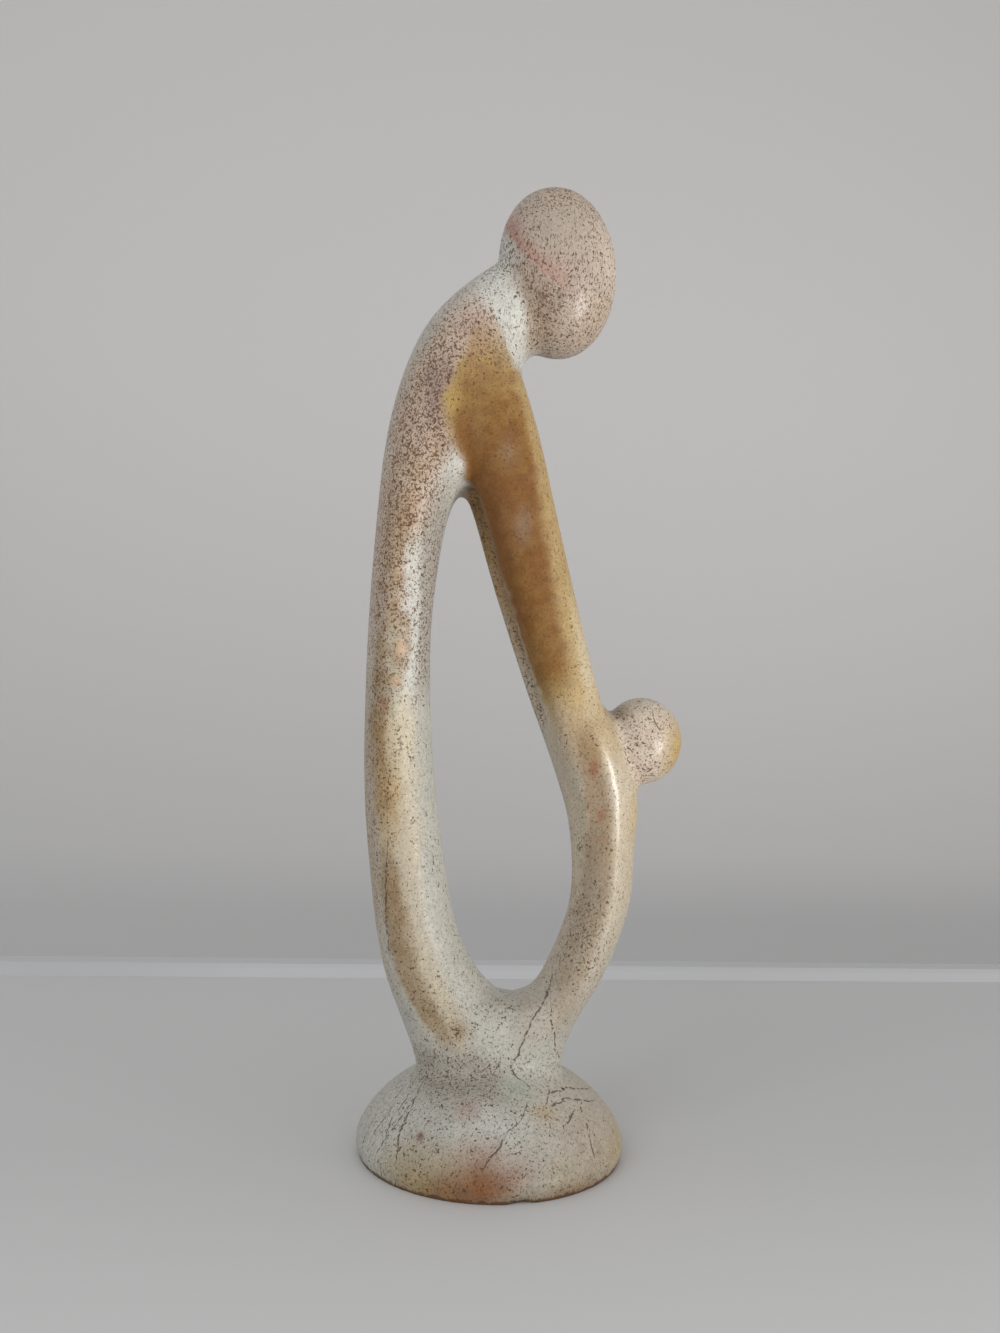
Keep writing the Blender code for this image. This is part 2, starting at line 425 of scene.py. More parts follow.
@dataclass
class Carving:
    """The whole figure: its limbs, heads and base, fused into one polished stone."""

    sizes: Proportions = field(default_factory=Proportions)
    mother: Limb = Limb(
        (
            (-7.3, -5.8, 6.0, -5.8, 5.4, 0.60, 2.0),
            (-8.3, 0.0, 5.6, 0.3, 5.2, 0.60, 2.0),
            (-9.7, 3.7, 4.2, 6.3, 5.0, 0.54, 1.9),
            (-11.5, 8.0, 0.4, 7.6, 4.8, 0.52, 1.85),
            (-12.6, 11.7, -2.9, 11.4, 4.6, 0.52, 1.8),
            (-13.6, 17.1, -5.0, 17.2, 4.5, 0.52, 1.8),
            (-14.9, 27.9, -6.9, 28.1, 4.3, 0.50, 1.8),
            (-15.3, 38.9, -8.0, 39.2, 4.3, 0.48, 1.8),
            (-15.2, 50.2, -8.0, 50.5, 4.6, 0.42, 1.85),
            (-14.7, 61.0, -6.1, 61.8, 5.3, 0.42, 1.95),
            (-14.2, 67.5, -2.0, 63.8, 5.8, 0.46, 2.05),
            (-13.3, 73.0, 1.0, 68.0, 6.0, 0.48, 2.1),
            (-11.8, 78.3, 1.6, 73.5, 5.8, 0.48, 2.1),
            (-9.6, 82.9, 1.3, 77.5, 5.2, 0.50, 2.1),
            (-6.3, 86.8, 1.9, 79.3, 4.6, 0.50, 2.0),
            (-2.6, 89.9, 3.6, 80.4, 4.2, 0.50, 2.0),
            (1.5, 92.6, 6.9, 82.4, 3.6, 0.50, 2.0),
        )
    )
    child: Limb = Limb(
        (
            (-6.0, -5.8, 7.3, -5.8, 5.4, 0.50, 2.0),
            (-4.9, 0.3, 7.7, 0.0, 5.2, 0.50, 2.0),
            (0.1, 6.1, 9.0, 3.9, 4.9, 0.50, 1.9),
            (4.1, 7.8, 11.6, 8.2, 4.6, 0.50, 1.85),
            (6.4, 11.7, 13.5, 12.2, 4.4, 0.52, 1.8),
            (8.3, 17.4, 15.1, 17.4, 4.3, 0.54, 1.75),
            (8.3, 23.4, 15.5, 23.4, 4.4, 0.55, 1.7),
            (7.2, 29.5, 15.75, 29.9, 5.0, 0.53, 1.7),
            (5.6, 34.4, 14.0, 36.0, 5.5, 0.50, 1.8),
            (5.0, 37.2, 11.4, 39.4, 4.8, 0.50, 2.0),
        )
    )
    arms: Arms = field(default_factory=Arms)
    mother_head: Head = Head(5.15, 89.8, 6.95, 6.0, 10.1, -3.0, 2.3)
    child_head: Head = Head(16.15, 35.35, 4.55, 4.3, 4.95, 0.0, 2.0)
    base: Dome = field(default_factory=Dome)
    voxel: float = 0.0009
    polish: float = 0.5
    polish_passes: int = 12
    waist_passes: int = 45
    waist_levels: int = 10
    waist_rise: tuple[float, float] = (14.0, 19.0)
    waist_fall: tuple[float, float] = (25.0, 33.0)
    waist_across: tuple[float, float] = (4.5, 9.5)
    dents: tuple[Dent, ...] = (
        Dent((-9.7, -11.0, 30.9), (1.3, 2.0, 1.2), 0.8),
        Dent((4.6, -32.8, 0.4), (4.2, 2.6, 1.5), 0.9),
    )

    def shells(self) -> list[Shell]:
        """Every form that is fused into the stone.

        Returns:
            The closed skins of the limbs, the heads and the base.
        """
        return [
            self.mother.shell(self.sizes),
            self.child.shell(self.sizes),
            self.arms.shell(self.sizes, Side.NEAR),
            self.arms.shell(self.sizes, Side.FAR),
            self.mother_head.shell(self.sizes),
            self.child_head.shell(self.sizes),
            self.base.shell(self.sizes),
        ]

    def fuse(self) -> Mesh:
        """Joins the forms into one skin and smooths it, as polishing does.

        Returns:
            The smoothed mesh, which still runs on below z = 0.
        """
        rough = put_in_scene("rough forms", mesh_of("rough forms", self.shells()))
        skin = rough.modifiers.new("skin", "REMESH")
        skin.mode = "VOXEL"
        skin.voxel_size = self.voxel
        polish = rough.modifiers.new("polish", "SMOOTH")
        polish.factor = self.polish
        polish.iterations = self.polish_passes
        stone = worked_mesh(rough)
        stone.name = "stone"
        return stone

    def ease_waist(self, stone: Mesh) -> Mesh:
        """Rubs the hollow between the waist and the dome softer on its two broad sides.

        The share that each point moves, in steps of a tenth, is a hump in z round the top of the
        base, times a rise from 0 to 1 in |y|, so the outline seen from the side stays.

        Args:
            stone: The skin.

        Returns:
            The eased skin.
        """
        _, y, z = points_of(stone).T / MM
        low, high = self.waist_fall
        share = smoothstep(*self.waist_rise, z) * smoothstep(-high, -low, -z)
        share = share * smoothstep(*self.waist_across, np.abs(y))
        worked = put_in_scene("worked", stone)
        group = worked.vertex_groups.new(name="waist")
        for level in range(1, self.waist_levels + 1):
            chosen = np.flatnonzero(np.ceil(share * self.waist_levels) == level)
            group.add(chosen.tolist(), level / self.waist_levels, "REPLACE")
        ease = worked.modifiers.new("ease", "SMOOTH")
        ease.factor, ease.iterations, ease.vertex_group = self.polish, self.waist_passes, "waist"
        return worked_mesh(worked)

    def saw(self, stone: Mesh) -> None:
        """Cuts the stone off flat at z = 0 and closes the cut with one face.

        Args:
            stone: The skin, which is cut.
        """
        shape = bmesh.new()
        shape.from_mesh(stone)
        everything = [*shape.verts, *shape.edges, *shape.faces]
        plane = {"plane_co": (0, 0, 0), "plane_no": (0, 0, -1)}
        cut = bmesh.ops.bisect_plane(shape, geom=everything, **plane, clear_outer=True)
        rim = [part for part in cut["geom_cut"] if isinstance(part, bmesh.types.BMEdge)]
        bmesh.ops.contextual_create(shape, geom=rim)
        bmesh.ops.recalc_face_normals(shape, faces=shape.faces)
        for face in shape.faces:
            face.smooth = len(face.verts) <= 4
        shape.to_mesh(stone)
        shape.free()

    def wear(self, stone: Mesh) -> None:
        """Presses the pits and chips into the skin, above the sawn face.

        Args:
            stone: The skin, whose points are moved.
        """
        points, normals = points_of(stone), points_of(stone, "normal")
        for dent in self.dents:
            points = dent.press(points, normals)
        points[:, 2] = np.maximum(points[:, 2], 0.0)
        stone.vertices.foreach_set("co", points.ravel())
        stone.update()

    def build(self) -> bpy.types.Object:
        """Makes the finished stone, which stands for the CAD solid.

        Returns:
            The stone's object, at the origin.
        """
        stone = self.ease_waist(self.fuse())
        self.saw(stone)
        self.wear(stone)
        return put_in_scene("polished_stone", stone)


# Shader expressions


class Value:
    """One number that varies over the stone. Arithmetic on it adds Math nodes to its graph."""

    def __init__(self, graph: "Graph", socket: Socket) -> None:
        """Wraps a socket of a graph."""
        self.graph = graph
        self.socket = socket

    def __add__(self, other: "Value | float") -> "Value":
        """self + other."""
        return self.graph.math("ADD", self, other)

    __radd__ = __add__

    def __sub__(self, other: "Value | float") -> "Value":
        """self - other."""
        return self.graph.math("SUBTRACT", self, other)

    def __rsub__(self, other: float) -> "Value":
        """other - self."""
        return self.graph.math("SUBTRACT", other, self)

    def __mul__(self, other: "Value | float") -> "Value":
        """self x other."""
        return self.graph.math("MULTIPLY", self, other)

    __rmul__ = __mul__

    def __truediv__(self, other: "Value | float") -> "Value":
        """self / other."""
        return self.graph.math("DIVIDE", self, other)

    def __abs__(self) -> "Value":
        """The size of self, without its sign."""
        return self.graph.math("ABSOLUTE", self)

    def most(self, other: "Value | float") -> "Value":
        """The larger of self and other."""
        return self.graph.math("MAXIMUM", self, other)

    def step(self, low: "Value | float", high: "Value | float") -> "Value":
        """A smooth step from 0 to 1, or from 1 to 0 where low is above high.

        Args:
            low: Where it starts.
            high: Where it ends.

        Returns:
            The step's number.
        """
        rising = not (isinstance(low, (int, float)) and isinstance(high, (int, float)) and low > high)
        ends = (low, high, 0.0, 1.0) if rising else (high, low, 1.0, 0.0)
        settings = {"interpolation_type": "SMOOTHSTEP", "clamp": True}
        made = self.graph.node("ShaderNodeMapRange", settings, dict(enumerate((self, *ends))))
        return Value(self.graph, made.outputs[0])


class Graph:
    """A material's nodes, written as expressions."""

    def __init__(self, tree: bpy.types.NodeTree) -> None:
        """Starts on a material's node tree."""
        self.tree = tree

    def node(self, kind: str, settings: dict[str, object], sockets: dict[int | str, object]) -> bpy.types.Node:
        """Adds one node.

        Args:
            kind: The node's type.
            settings: Its settings, such as a Math node's operation, or a ramp's stops as rows of a
                position and a colour. They are set first.
            sockets: A value, or a socket to link from, for each of its sockets.

        Returns:
            The node.
        """
        made = self.tree.nodes.new(kind)
        for name, setting in settings.items():
            if name == "stops":
                self.fill_ramp(made.color_ramp, setting)
            else:
                setattr(made, name, setting)
        for name, given in sockets.items():
            source = given.socket if isinstance(given, Value) else given
            if isinstance(source, Socket):
                self.tree.links.new(source, made.inputs[name])
            else:
                made.inputs[name].default_value = source
        return made

    @staticmethod
    def fill_ramp(ramp: bpy.types.ColorRamp, stops: list[tuple[float, Colour]]) -> None:
        """Gives a ramp its stops.

        Args:
            ramp: The ramp, which starts with two.
            stops: Rows of a position and a colour, in order.
        """
        while len(ramp.elements) < len(stops):
            ramp.elements.new(1.0)
        for element, (position, colour) in zip(ramp.elements, stops):
            element.position = position
            element.color = (*colour, 1.0)

    def math(self, operation: str, *operands: "Value | float") -> Value:
        """Adds one Math node and gives its result."""
        made = self.node("ShaderNodeMath", {"operation": operation}, dict(enumerate(operands)))
        return Value(self, made.outputs[0])

    def vector(self, operation: str, first: object, second: object) -> Socket:
        """Adds one Vector Math node.

        Args:
            operation: What it does.
            first: A vector or a socket.
            second: The same, or for SCALE a number.

        Returns:
            The result's socket.
        """
        name = "Scale" if operation == "SCALE" else 1
        made = self.node("ShaderNodeVectorMath", {"operation": operation}, {0: first, name: second})
        return made.outputs[0]

    def split(self, vector: Socket) -> tuple[Value, Value, Value]:
        """The three parts of a vector."""
        made = self.node("ShaderNodeSeparateXYZ", {}, {0: vector})
        return tuple(Value(self, made.outputs[k]) for k in range(3))

    def noise(self, vector: Socket, scale: float, detail: float, rough: float = 0.5) -> tuple[Value, Socket]:
        """Cloudy noise.

        Args:
            vector: Where it is read, in millimetres.
            scale: How many clouds there are to a millimetre.
            detail: How many finer layers it has.
            rough: How strong each finer layer is.

        Returns:
            Its number, round 0.5, and its colour socket, three such numbers.
        """
        sockets = {"Vector": vector, "Scale": scale, "Detail": detail, "Roughness": rough}
        made = self.node("ShaderNodeTexNoise", {}, sockets)
        return Value(self, made.outputs[0]), made.outputs[1]

    def tint(self, share: Value | float, under: object, over: object) -> Socket:
        """Lays a share of one colour over another."""
        made = self.node("ShaderNodeMix", {"data_type": "RGBA"}, {0: share, 6: under, 7: over})
        return made.outputs[2]


# The stone's finish


class Track(Enum):
    """What a crack runs along, and what its place is measured by."""

    UP = "height z in mm, place x in mm"
    OUT = "radius in mm, place as a bearing in degrees, 0 at the front and 90 at +X"
    ROUND = "bearing in degrees, place as a radius in mm"


def clouds(points: Array, scale: float, layers: int, seed: int) -> Array:
    """Cloudy noise from -1 to 1.

    Each corner of a lattice has a number hashed from its place, and a point between eight corners
    takes their blend, with shares that follow 3t^2 - 2t^3. Each finer layer is twice as fine and
    half as strong.

    Args:
        points: Where it is read, in millimetres.
        scale: How many cells there are to a millimetre.
        layers: How many layers are added up.
        seed: Which noise.

    Returns:
        One number for each point.
    """
    total, strength = np.zeros(len(points)), 0.0
    for layer in range(layers):
        spot = points * scale * 2**layer + 31.7 * layer
        cell = np.floor(spot).astype(np.int64)
        share = spot - cell
        share = share * share * (3 - 2 * share)
        for corner in np.ndindex(2, 2, 2):
            key = (cell + corner) * np.array([73856093, 19349663, 83492791])
            hashed = key[:, 0] ^ key[:, 1] ^ key[:, 2] ^ (seed * 2654435761)
            hashed = ((hashed ^ (hashed >> 13)) * 1274126177) & 0x7FFFFFFF
            number = ((hashed ^ (hashed >> 15)) & 0xFFFF) / 32767.5 - 1
            total += 0.5**layer * number * np.where(corner, share, 1 - share).prod(axis=1)
        strength += 0.5**layer
    return total / strength


def stirred(points: Array, scale: float, reach: float, seed: int) -> Array:
    """Points moved by up to reach millimetres by three cloudy noises, which frays a pattern's edges."""
    return points + reach * np.stack([clouds(points, scale, 3, seed + axis) for axis in range(3)], axis=-1)


@dataclass
class Places:
    """The skin's points in millimetres: as they are, finely stirred and broadly stirred."""

    plain: Array
    fine: Array
    broad: Array

    @classmethod
    def of(cls, stone: Mesh) -> "Places":
        """Reads a mesh's points.

        Args:
            stone: The mesh, in metres.

        Returns:
            The three sets of points.
        """
        plain = points_of(stone) / MM
        fine = stirred(plain, 0.45, 0.7, 11)
        return cls(plain, fine, stirred(fine, 0.12, 1.9, 5))

    def patches(self, seed: int | None) -> Array:
        """Small patches, or 1 everywhere.

        Args:
            seed: The noise's seed, or None for no patches.

        Returns:
            One number for each point, from 0 to 1.
        """
        if seed is None:
            return np.ones(len(self.plain))
        return smoothstep(-0.15, 0.25, clouds(self.plain, 0.42, 3, seed))

    def share_on(self, side: Side) -> Array:
        """1 on a side, 0 on the other and smooth across the middle plane."""
        return smoothstep(-1.5, 1.5, side.value * self.fine[:, 1])


@dataclass(frozen=True)
class Streak:
    """A band of colour that runs up the figure.

    rows are rows of the height z, the middle in x, the half-width and the strength, where an end
    without a strength has none. soft is how far the low and the high edge fade, in half-widths.
    colour is None where the streak changes only how densely the stone is speckled there, and grain
    is that density, from 0 to 1. fine makes its edges less frayed. patches breaks it up into small
    patches, and is their noise's seed.
    """

    colour: Colour | None
    rows: tuple[Row, ...]
    grain: float | None = None
    side: Side = Side.NEAR
    soft: tuple[float, float] = (0.6, 0.6)
    fine: bool = False
    patches: int | None = None

    def mask(self, places: Places) -> Array:
        """How strongly the streak shows.

        The rows give the middle m, half-width w and strength s in straight lines between them.
        With the offset q = (x - m) / w the mask is s x (q rising past -1) x (q falling past 1).

        Args:
            places: The skin's points.

        Returns:
            The mask, from 0 to 1.
        """
        points = places.fine if self.fine else places.broad
        rows = np.array([(*row, 0.0)[:4] for row in self.rows])
        middle, width, strength = (np.interp(points[:, 2], rows[:, 0], rows[:, k]) for k in (1, 2, 3))
        offset = (points[:, 0] - middle) / width
        low, high = self.soft
        shown = strength * smoothstep(-1 - low, -1 + low / 2, offset) * smoothstep(-1 - high, -1 + high / 2, -offset)
        return shown * places.patches(self.patches) * places.share_on(self.side)


@dataclass(frozen=True)
class Blotch:
    """A rounded cloud of colour: centre and reach in millimetres, strength, grain and a soft edge.

    Its grain and patches are as in a streak.
    """

    colour: Colour | None
    centre: tuple[float, float, float]
    reach: tuple[float, float, float]
    strength: float = 1.0
    grain: float | None = None
    soft: float = 0.5
    patches: int | None = None

    def mask(self, places: Places) -> Array:
        """How strongly the cloud shows: strength inside, falling off round |(p - centre) / reach| = 1.

        Args:
            places: The skin's points.

        Returns:
            The mask, from 0 to 1.
        """
        points = places.fine if min(self.reach) < 4.0 else places.broad
        distance = np.linalg.norm((points - np.array(self.centre)) / np.array(self.reach), axis=1)
        shown = self.strength * smoothstep(-1 - self.soft / 2, -1 + self.soft, -distance)
        return shown * places.patches(self.patches)


@dataclass(frozen=True)
class Mark:
    """A small dark mark, too fine for the painted skin: centre and reach in millimetres, and strength."""

    centre: tuple[float, float, float]
    reach: tuple[float, float, float]
    strength: float = 0.8

    def mask(self, ground: "Ground") -> Value:
        """How strongly the mark shows: strength inside, falling off round |(p - centre) / reach| = 1.

        Args:
            ground: Where the stone is read.

        Returns:
            The mask, from 0 to 1.
        """
        graph = ground.graph
        away = graph.vector("SUBTRACT", ground.stirred, self.centre)
        away = graph.vector("MULTIPLY", away, tuple(1 / part for part in self.reach))
        length = graph.node("ShaderNodeVectorMath", {"operation": "LENGTH"}, {0: away})
        return Value(graph, length.outputs["Value"]).step(1.3, 0.6) * self.strength


@dataclass(frozen=True)
class Gauge:
    """How a track's two numbers are brought to the range 0 to 1 that a ramp holds."""

    along: tuple[float, float]
    place: tuple[float, float]

    def stop(self, row: Row) -> tuple[float, Colour]:
        """Works out a ramp's stop.

        Args:
            row: The place along the track, the place across it and the half-width.

        Returns:
            The stop's position and colour, whose red is the place and green the half-width.
        """
        along = (row[0] - self.along[0]) / (self.along[1] - self.along[0])
        reach = self.place[1] - self.place[0]
        return along, ((row[1] - self.place[0]) / reach, row[2] / reach, 0.0)

    def share(self, along: Value, place: Value) -> tuple[Value, Value]:
        """Brings the two numbers, read off the stone, to the same range.

        Args:
            along: The place along the track.
            place: The place across it.

        Returns:
            Both, from 0 to 1 within the gauge.
        """
        return (
            (along - self.along[0]) / (self.along[1] - self.along[0]),
            (place - self.place[0]) / (self.place[1] - self.place[0]),
        )


GAUGES = {
    Track.UP: Gauge((0.0, 120.0), (-40.0, 60.0)),
    Track.OUT: Gauge((0.0, 40.0), (-180.0, 180.0)),
    Track.ROUND: Gauge((-180.0, 180.0), (0.0, 40.0)),
}


@dataclass
class Ground:
    """Where the nodes read the stone: its plain and stirred place, the tracks on it and its sides."""

    graph: Graph
    point: Socket
    stirred: Socket
    tracks: dict[Track, tuple[Value, Value]]
    sides: dict[Side, Value]


@dataclass(frozen=True)
class Crack:
    """A dark hairline, whose rows hold the place along its track, its middle and its half-width.

    An end without a half-width comes to a point, tip wide. broken is true where the crack is a row
    of small pits.
    """

    rows: tuple[Row, ...]
    track: Track = Track.UP
    side: Side = Side.NEAR
    broken: bool = False
    tip: float = 0.01

    def mask(self, ground: Ground) -> Value:
        """How strongly the hairline shows on both sides of the stone.

        A ramp along the track holds the line's middle m and half-width w, and the mask falls
        from 1 to 0 as |place - m| / w goes from 0.15 to 0.85.

        Args:
            ground: Where the stone is read.

        Returns:
            The mask, from 0 to 1.
        """
        graph, gauge = ground.graph, GAUGES[self.track]
        along, place = ground.tracks[self.track]
        stops = [gauge.stop((*row, self.tip)[:3]) for row in sorted(self.rows)]
        ramp = graph.node("ShaderNodeValToRGB", {"stops": stops}, {0: along})
        parts = graph.node("ShaderNodeSeparateColor", {}, {0: ramp.outputs[0]})
        middle, width = (Value(graph, parts.outputs[k]) for k in range(2))
        return (abs(place - middle) / width).step(0.85, 0.15)


# The stone's colours
PALE = (0.56, 0.54, 0.47)
GREY = (0.50, 0.49, 0.43)
WHITE = (0.62, 0.61, 0.55)
SAGE = (0.50, 0.51, 0.43)
CREAM = (0.58, 0.49, 0.35)
BUTTER = (0.62, 0.54, 0.39)
BEIGE = (0.52, 0.44, 0.34)
BLUSH = (0.54, 0.44, 0.36)
PINK = (0.50, 0.36, 0.29)
CLAY = (0.44, 0.26, 0.20)
TAN = (0.55, 0.40, 0.29)
TAUPE = (0.29, 0.195, 0.115)
PLUM = (0.30, 0.20, 0.17)
MAUVE = (0.41, 0.375, 0.325)
SAND = (0.54, 0.40, 0.22)
OCHRE = (0.54, 0.38, 0.12)
HONEY = (0.39, 0.24, 0.082)
AMBER = (0.205, 0.080, 0.008)
RUSSET = (0.19, 0.065, 0.008)
RUST = (0.34, 0.15, 0.075)
RUDDY = (0.29, 0.12, 0.046)
BROWN = (0.37, 0.25, 0.125)
GINGER = (0.29, 0.165, 0.055)
CARAMEL = (0.265, 0.140, 0.026)
STRAW = (0.47, 0.33, 0.145)
BASE_LOW_BROWN = (0.36, 0.26, 0.115)
ROSE = (0.64, 0.53, 0.42)
SLATE = (0.385, 0.355, 0.295)
KHAKI = (0.50, 0.45, 0.34)
FAWN = (0.46, 0.375, 0.30)
DRAB = (0.47, 0.38, 0.28)
UMBER = (0.20, 0.12, 0.075)
OLIVE = (0.36, 0.31, 0.20)
APRICOT = (0.64, 0.43, 0.27)

COLUMN = (
    Streak(TAN, ((126, -30, 4), (134, -30, 4.5, 0.5), (150, -29, 5.5, 0.75), (163, -27, 7, 0.85),
        (180, -22, 9, 0.9), (195, -17, 10, 0.9), (207, -13.5, 8, 0.75), (216, -11, 6, 0.4), (224, -9, 5)),
        grain=0.95),
    Streak(PLUM, ((180, -20, 2.6), (186, -19, 3, 0.7), (196, -19.5, 3, 0.7), (201, -19, 2.6)), grain=1),
    Blotch(PINK, (-11.5, -12, 209), (5, 8, 7), 0.65, 0.8),
    # Pale stone between the armpits, made whiter as painted light where the arms shade the chest.
    Blotch(WHITE, (-11.5, -8, 169), (8, 11, 10), 0.95, 0.2),
    Blotch(UMBER, (-16.5, -13, 176), (4, 5, 3.2), 0.25, 0.9, 0.9),
    Streak(None, ((20, -20, 14), (50, -24, 12, 1), (104, -26, 12, 1), (118, -26, 12)), grain=0.16,
        soft=(0.2, 0.2)),
    Streak(MAUVE, ((110, -20, 2.2), (118, -20.3, 2.4, 0.7), (135, -20.5, 2.6, 0.85), (155, -19.8, 2.8, 0.8),
        (168, -18, 3, 0.3), (174, -16, 3)), grain=0.8),
    Streak(WHITE, ((110, -24.5, 1.5), (119, -24.3, 1.8, 0.85), (148, -24.5, 1.9, 0.85), (157, -24.5, 1.5)),
        grain=0.5, soft=(0.5, 0.5), fine=True),
    Streak(CREAM, ((26, -9, 4), (34, -13, 5, 0.6), (42, -18, 5, 0.7), (55, -22.5, 4.6, 0.75),
        (70, -25.5, 4.2, 0.8), (85, -26.5, 4.2, 0.9), (104, -27, 4.2, 0.8), (114, -27, 3.5)), soft=(0.5, 0.7)),
    Streak(DRAB, ((36, -24, 2), (45, -29, 2.2, 0.5), (60, -32.5, 2.6, 0.8), (100, -34.5, 2.9, 0.9),
        (118, -35, 3, 0.6), (126, -35, 2.6)), grain=0.55),
    Streak(BROWN, ((104, -31, 1.6), (112, -31, 2, 0.5), (135, -31, 2.4, 0.4), (158, -28.5, 2.8, 0.45),
        (170, -27, 2.4)), grain=0.9, fine=True),
    Streak(BLUSH, ((118, -35, 2.6), (126, -35, 2.6, 0.75), (140, -35, 2.6, 0.75), (158, -34.5, 2.4)),
        grain=0.6),
    Streak(SAND, ((72, -27.8, 1.6), (77, -28, 2, 0.55), (82, -28.2, 2.3, 0.75), (89, -28.6, 2.7, 1),
        (98, -29.2, 2.6, 0.85), (106, -29.8, 2.4, 0.7), (113, -30, 2.2)), grain=0.5, fine=True),
    Streak(GINGER, ((78, -28.8, 1), (86, -30, 1.5, 0.4), (93, -30.8, 1.5, 0.3), (100, -31.6, 1.8, 0.4),
        (108, -32, 1.8, 0.5), (112, -32, 1.6)), grain=0.6, fine=True),
    Streak(GINGER, ((76, -28.2, 1.2), (84, -29, 2.2, 0.4), (98, -30.2, 2.2, 0.45), (110, -30.8, 2.4, 0.5),
        (114, -30, 2)), grain=0.7, fine=True, patches=31),
    Blotch(BUTTER, (-25.8, -10, 104), (3.6, 5, 13), 0.8, 0.3, 0.8),
    Streak(BROWN, ((25, -9.5, 2), (30, -12.5, 2.4, 0.6), (35, -16.5, 2.6, 0.75), (42, -20.6, 2.7, 0.65),
        (50, -24, 2.6, 0.55), (62, -26.2, 2.4, 0.45), (69, -27.2, 1.9, 0.4), (75, -27.8, 1.4)), grain=0.45,
        soft=(0.35, 0.8), fine=True),
    Streak(GINGER, ((42, -20.9, 1.2), (50, -24.2, 1.6, 0.35), (58, -26.2, 2, 0.4), (66, -27.4, 2, 0.5),
        (74, -28.2, 1.4, 0.3), (78, -28.4, 0.9)), grain=0.5, soft=(0.5, 0.8), fine=True),
    Streak(GINGER, ((26, -10, 1.6), (34, -15.6, 2.8, 0.2), (50, -24, 3, 0.25), (66, -27.2, 2.8, 0.45),
        (76, -28.2, 1.6)), grain=0.65, fine=True, patches=37),
    # Painted highlight over the stone's own cream: a pale strip along the lit side of the column's low ridge.
    Streak(BUTTER, ((25, -7.5, 1.2), (30, -9.6, 1.4, 0.9), (38, -13.2, 1.6, 0.85), (46, -17.6, 1.6, 0.7),
        (53, -20, 1.5)), fine=True),
    Streak(BROWN, ((112, -30.5, 3.2), (116, -29.8, 3.8, 0.45), (122, -28.8, 4.2, 0.55), (129, -28.3, 4, 0.6),
        (132.5, -28.5, 3.2, 0.4), (135, -28.5, 2)), grain=0.75, soft=(0.3, 0.2), fine=True),
    Streak(GINGER, ((108, -31, 2.6), (116, -30, 3.4, 0.4), (130, -29, 3.8, 0.6), (148, -29, 3.4, 0.3),
        (172, -25, 4.5, 0.25), (186, -20, 4)), grain=1, fine=True, patches=17),
    Streak(PLUM, ((176, -21, 4), (186, -19, 6, 0.22), (200, -15.5, 6, 0.25), (211, -11.5, 4.5, 0.2),
        (216, -9.5, 3)), grain=1, fine=True, patches=23),
    Blotch(KHAKI, (-29.2, -10, 127.6), (2.1, 4, 3.6), 0.75, 0.4, 0.8),
    Blotch(KHAKI, (-29.4, -10, 120.8), (2, 4, 3), 0.7, 0.4, 0.8),
    Blotch(APRICOT, (-26.8, -10, 125.2), (1.1, 4, 2.4), 0.85, 0.3, 0.8),
    Blotch(APRICOT, (-27.7, -10, 116.8), (1.3, 4, 1.5), 0.85, 0.3, 0.8),
    Blotch(APRICOT, (-27.4, -10, 144), (1.2, 4, 1.5), 0.6, 0.3, 0.6),
    Blotch(RUST, (-30.8, -9, 111), (1.2, 4, 2.6), 0.6, 0.6, 0.8),
)

MOTHERS_HEAD = (
    Blotch(FAWN, (13, 0, 229.5), (17.5, 20, 26), 0.95, 0.64, 0.18),
    Blotch(ROSE, (29, -4, 233), (11, 15, 18), 1, 0.45, 0.9),
    Blotch(TAUPE, (3, -10, 222), (9, 9, 15), 0.4, None, 0.9, 41),
    Blotch(WHITE, (-5.5, -2, 229), (6.5, 14, 12), 0.7, 0.9, 0.5),
    Blotch(TAN, (8, -2, 252), (17, 14, 9.5), 0.6, 0.92, 0.9),
    Blotch(TAUPE, (4.5, -9, 214), (8, 8, 11), 0.5, 0.95, 0.8),
    Blotch(TAN, (22, -8, 214), (9, 9, 9), 0.5, 0.75, 0.9),
    Blotch(None, (11.5, -13, 236), (6.5, 8, 9), 1, 0.28, 0.7),
    Blotch(PINK, (0.5, -9, 240.5), (5.5, 8, 5.5), 0.55, 0.5, 0.9),
    Blotch(PINK, (10, -12, 226), (6, 7, 4), 0.5, 0.5, 0.9),
    Streak(CLAY, ((218, 14.5, 1.2), (220.5, 12.6, 1.4, 0.3), (223.6, 9.2, 1.6, 0.6), (227, 5.2, 1.5, 0.85),
        (231, 1.8, 1.3, 0.95), (236, -0.9, 1.1, 1), (241, -2.2, 0.9, 0.8), (246, -2.6, 0.8)), soft=(0.5, 2.6),
        fine=True),
    Blotch(UMBER, (6.6, -11.2, 218.4), (1.1, 4, 1.5), 0.8, 0.9, 0.8),
    Blotch(UMBER, (11.4, -11.9, 218.4), (1.3, 4, 1.1), 0.55, 0.9, 0.9),
    Streak(WHITE, ((198, 1.2, 1.8), (202, 1.5, 2.4, 0.9), (210, -0.4, 3.2, 0.95), (218, -4.5, 4, 0.95),
        (224, -7.5, 4, 0.7), (229, -9, 3)), grain=0.4),
)

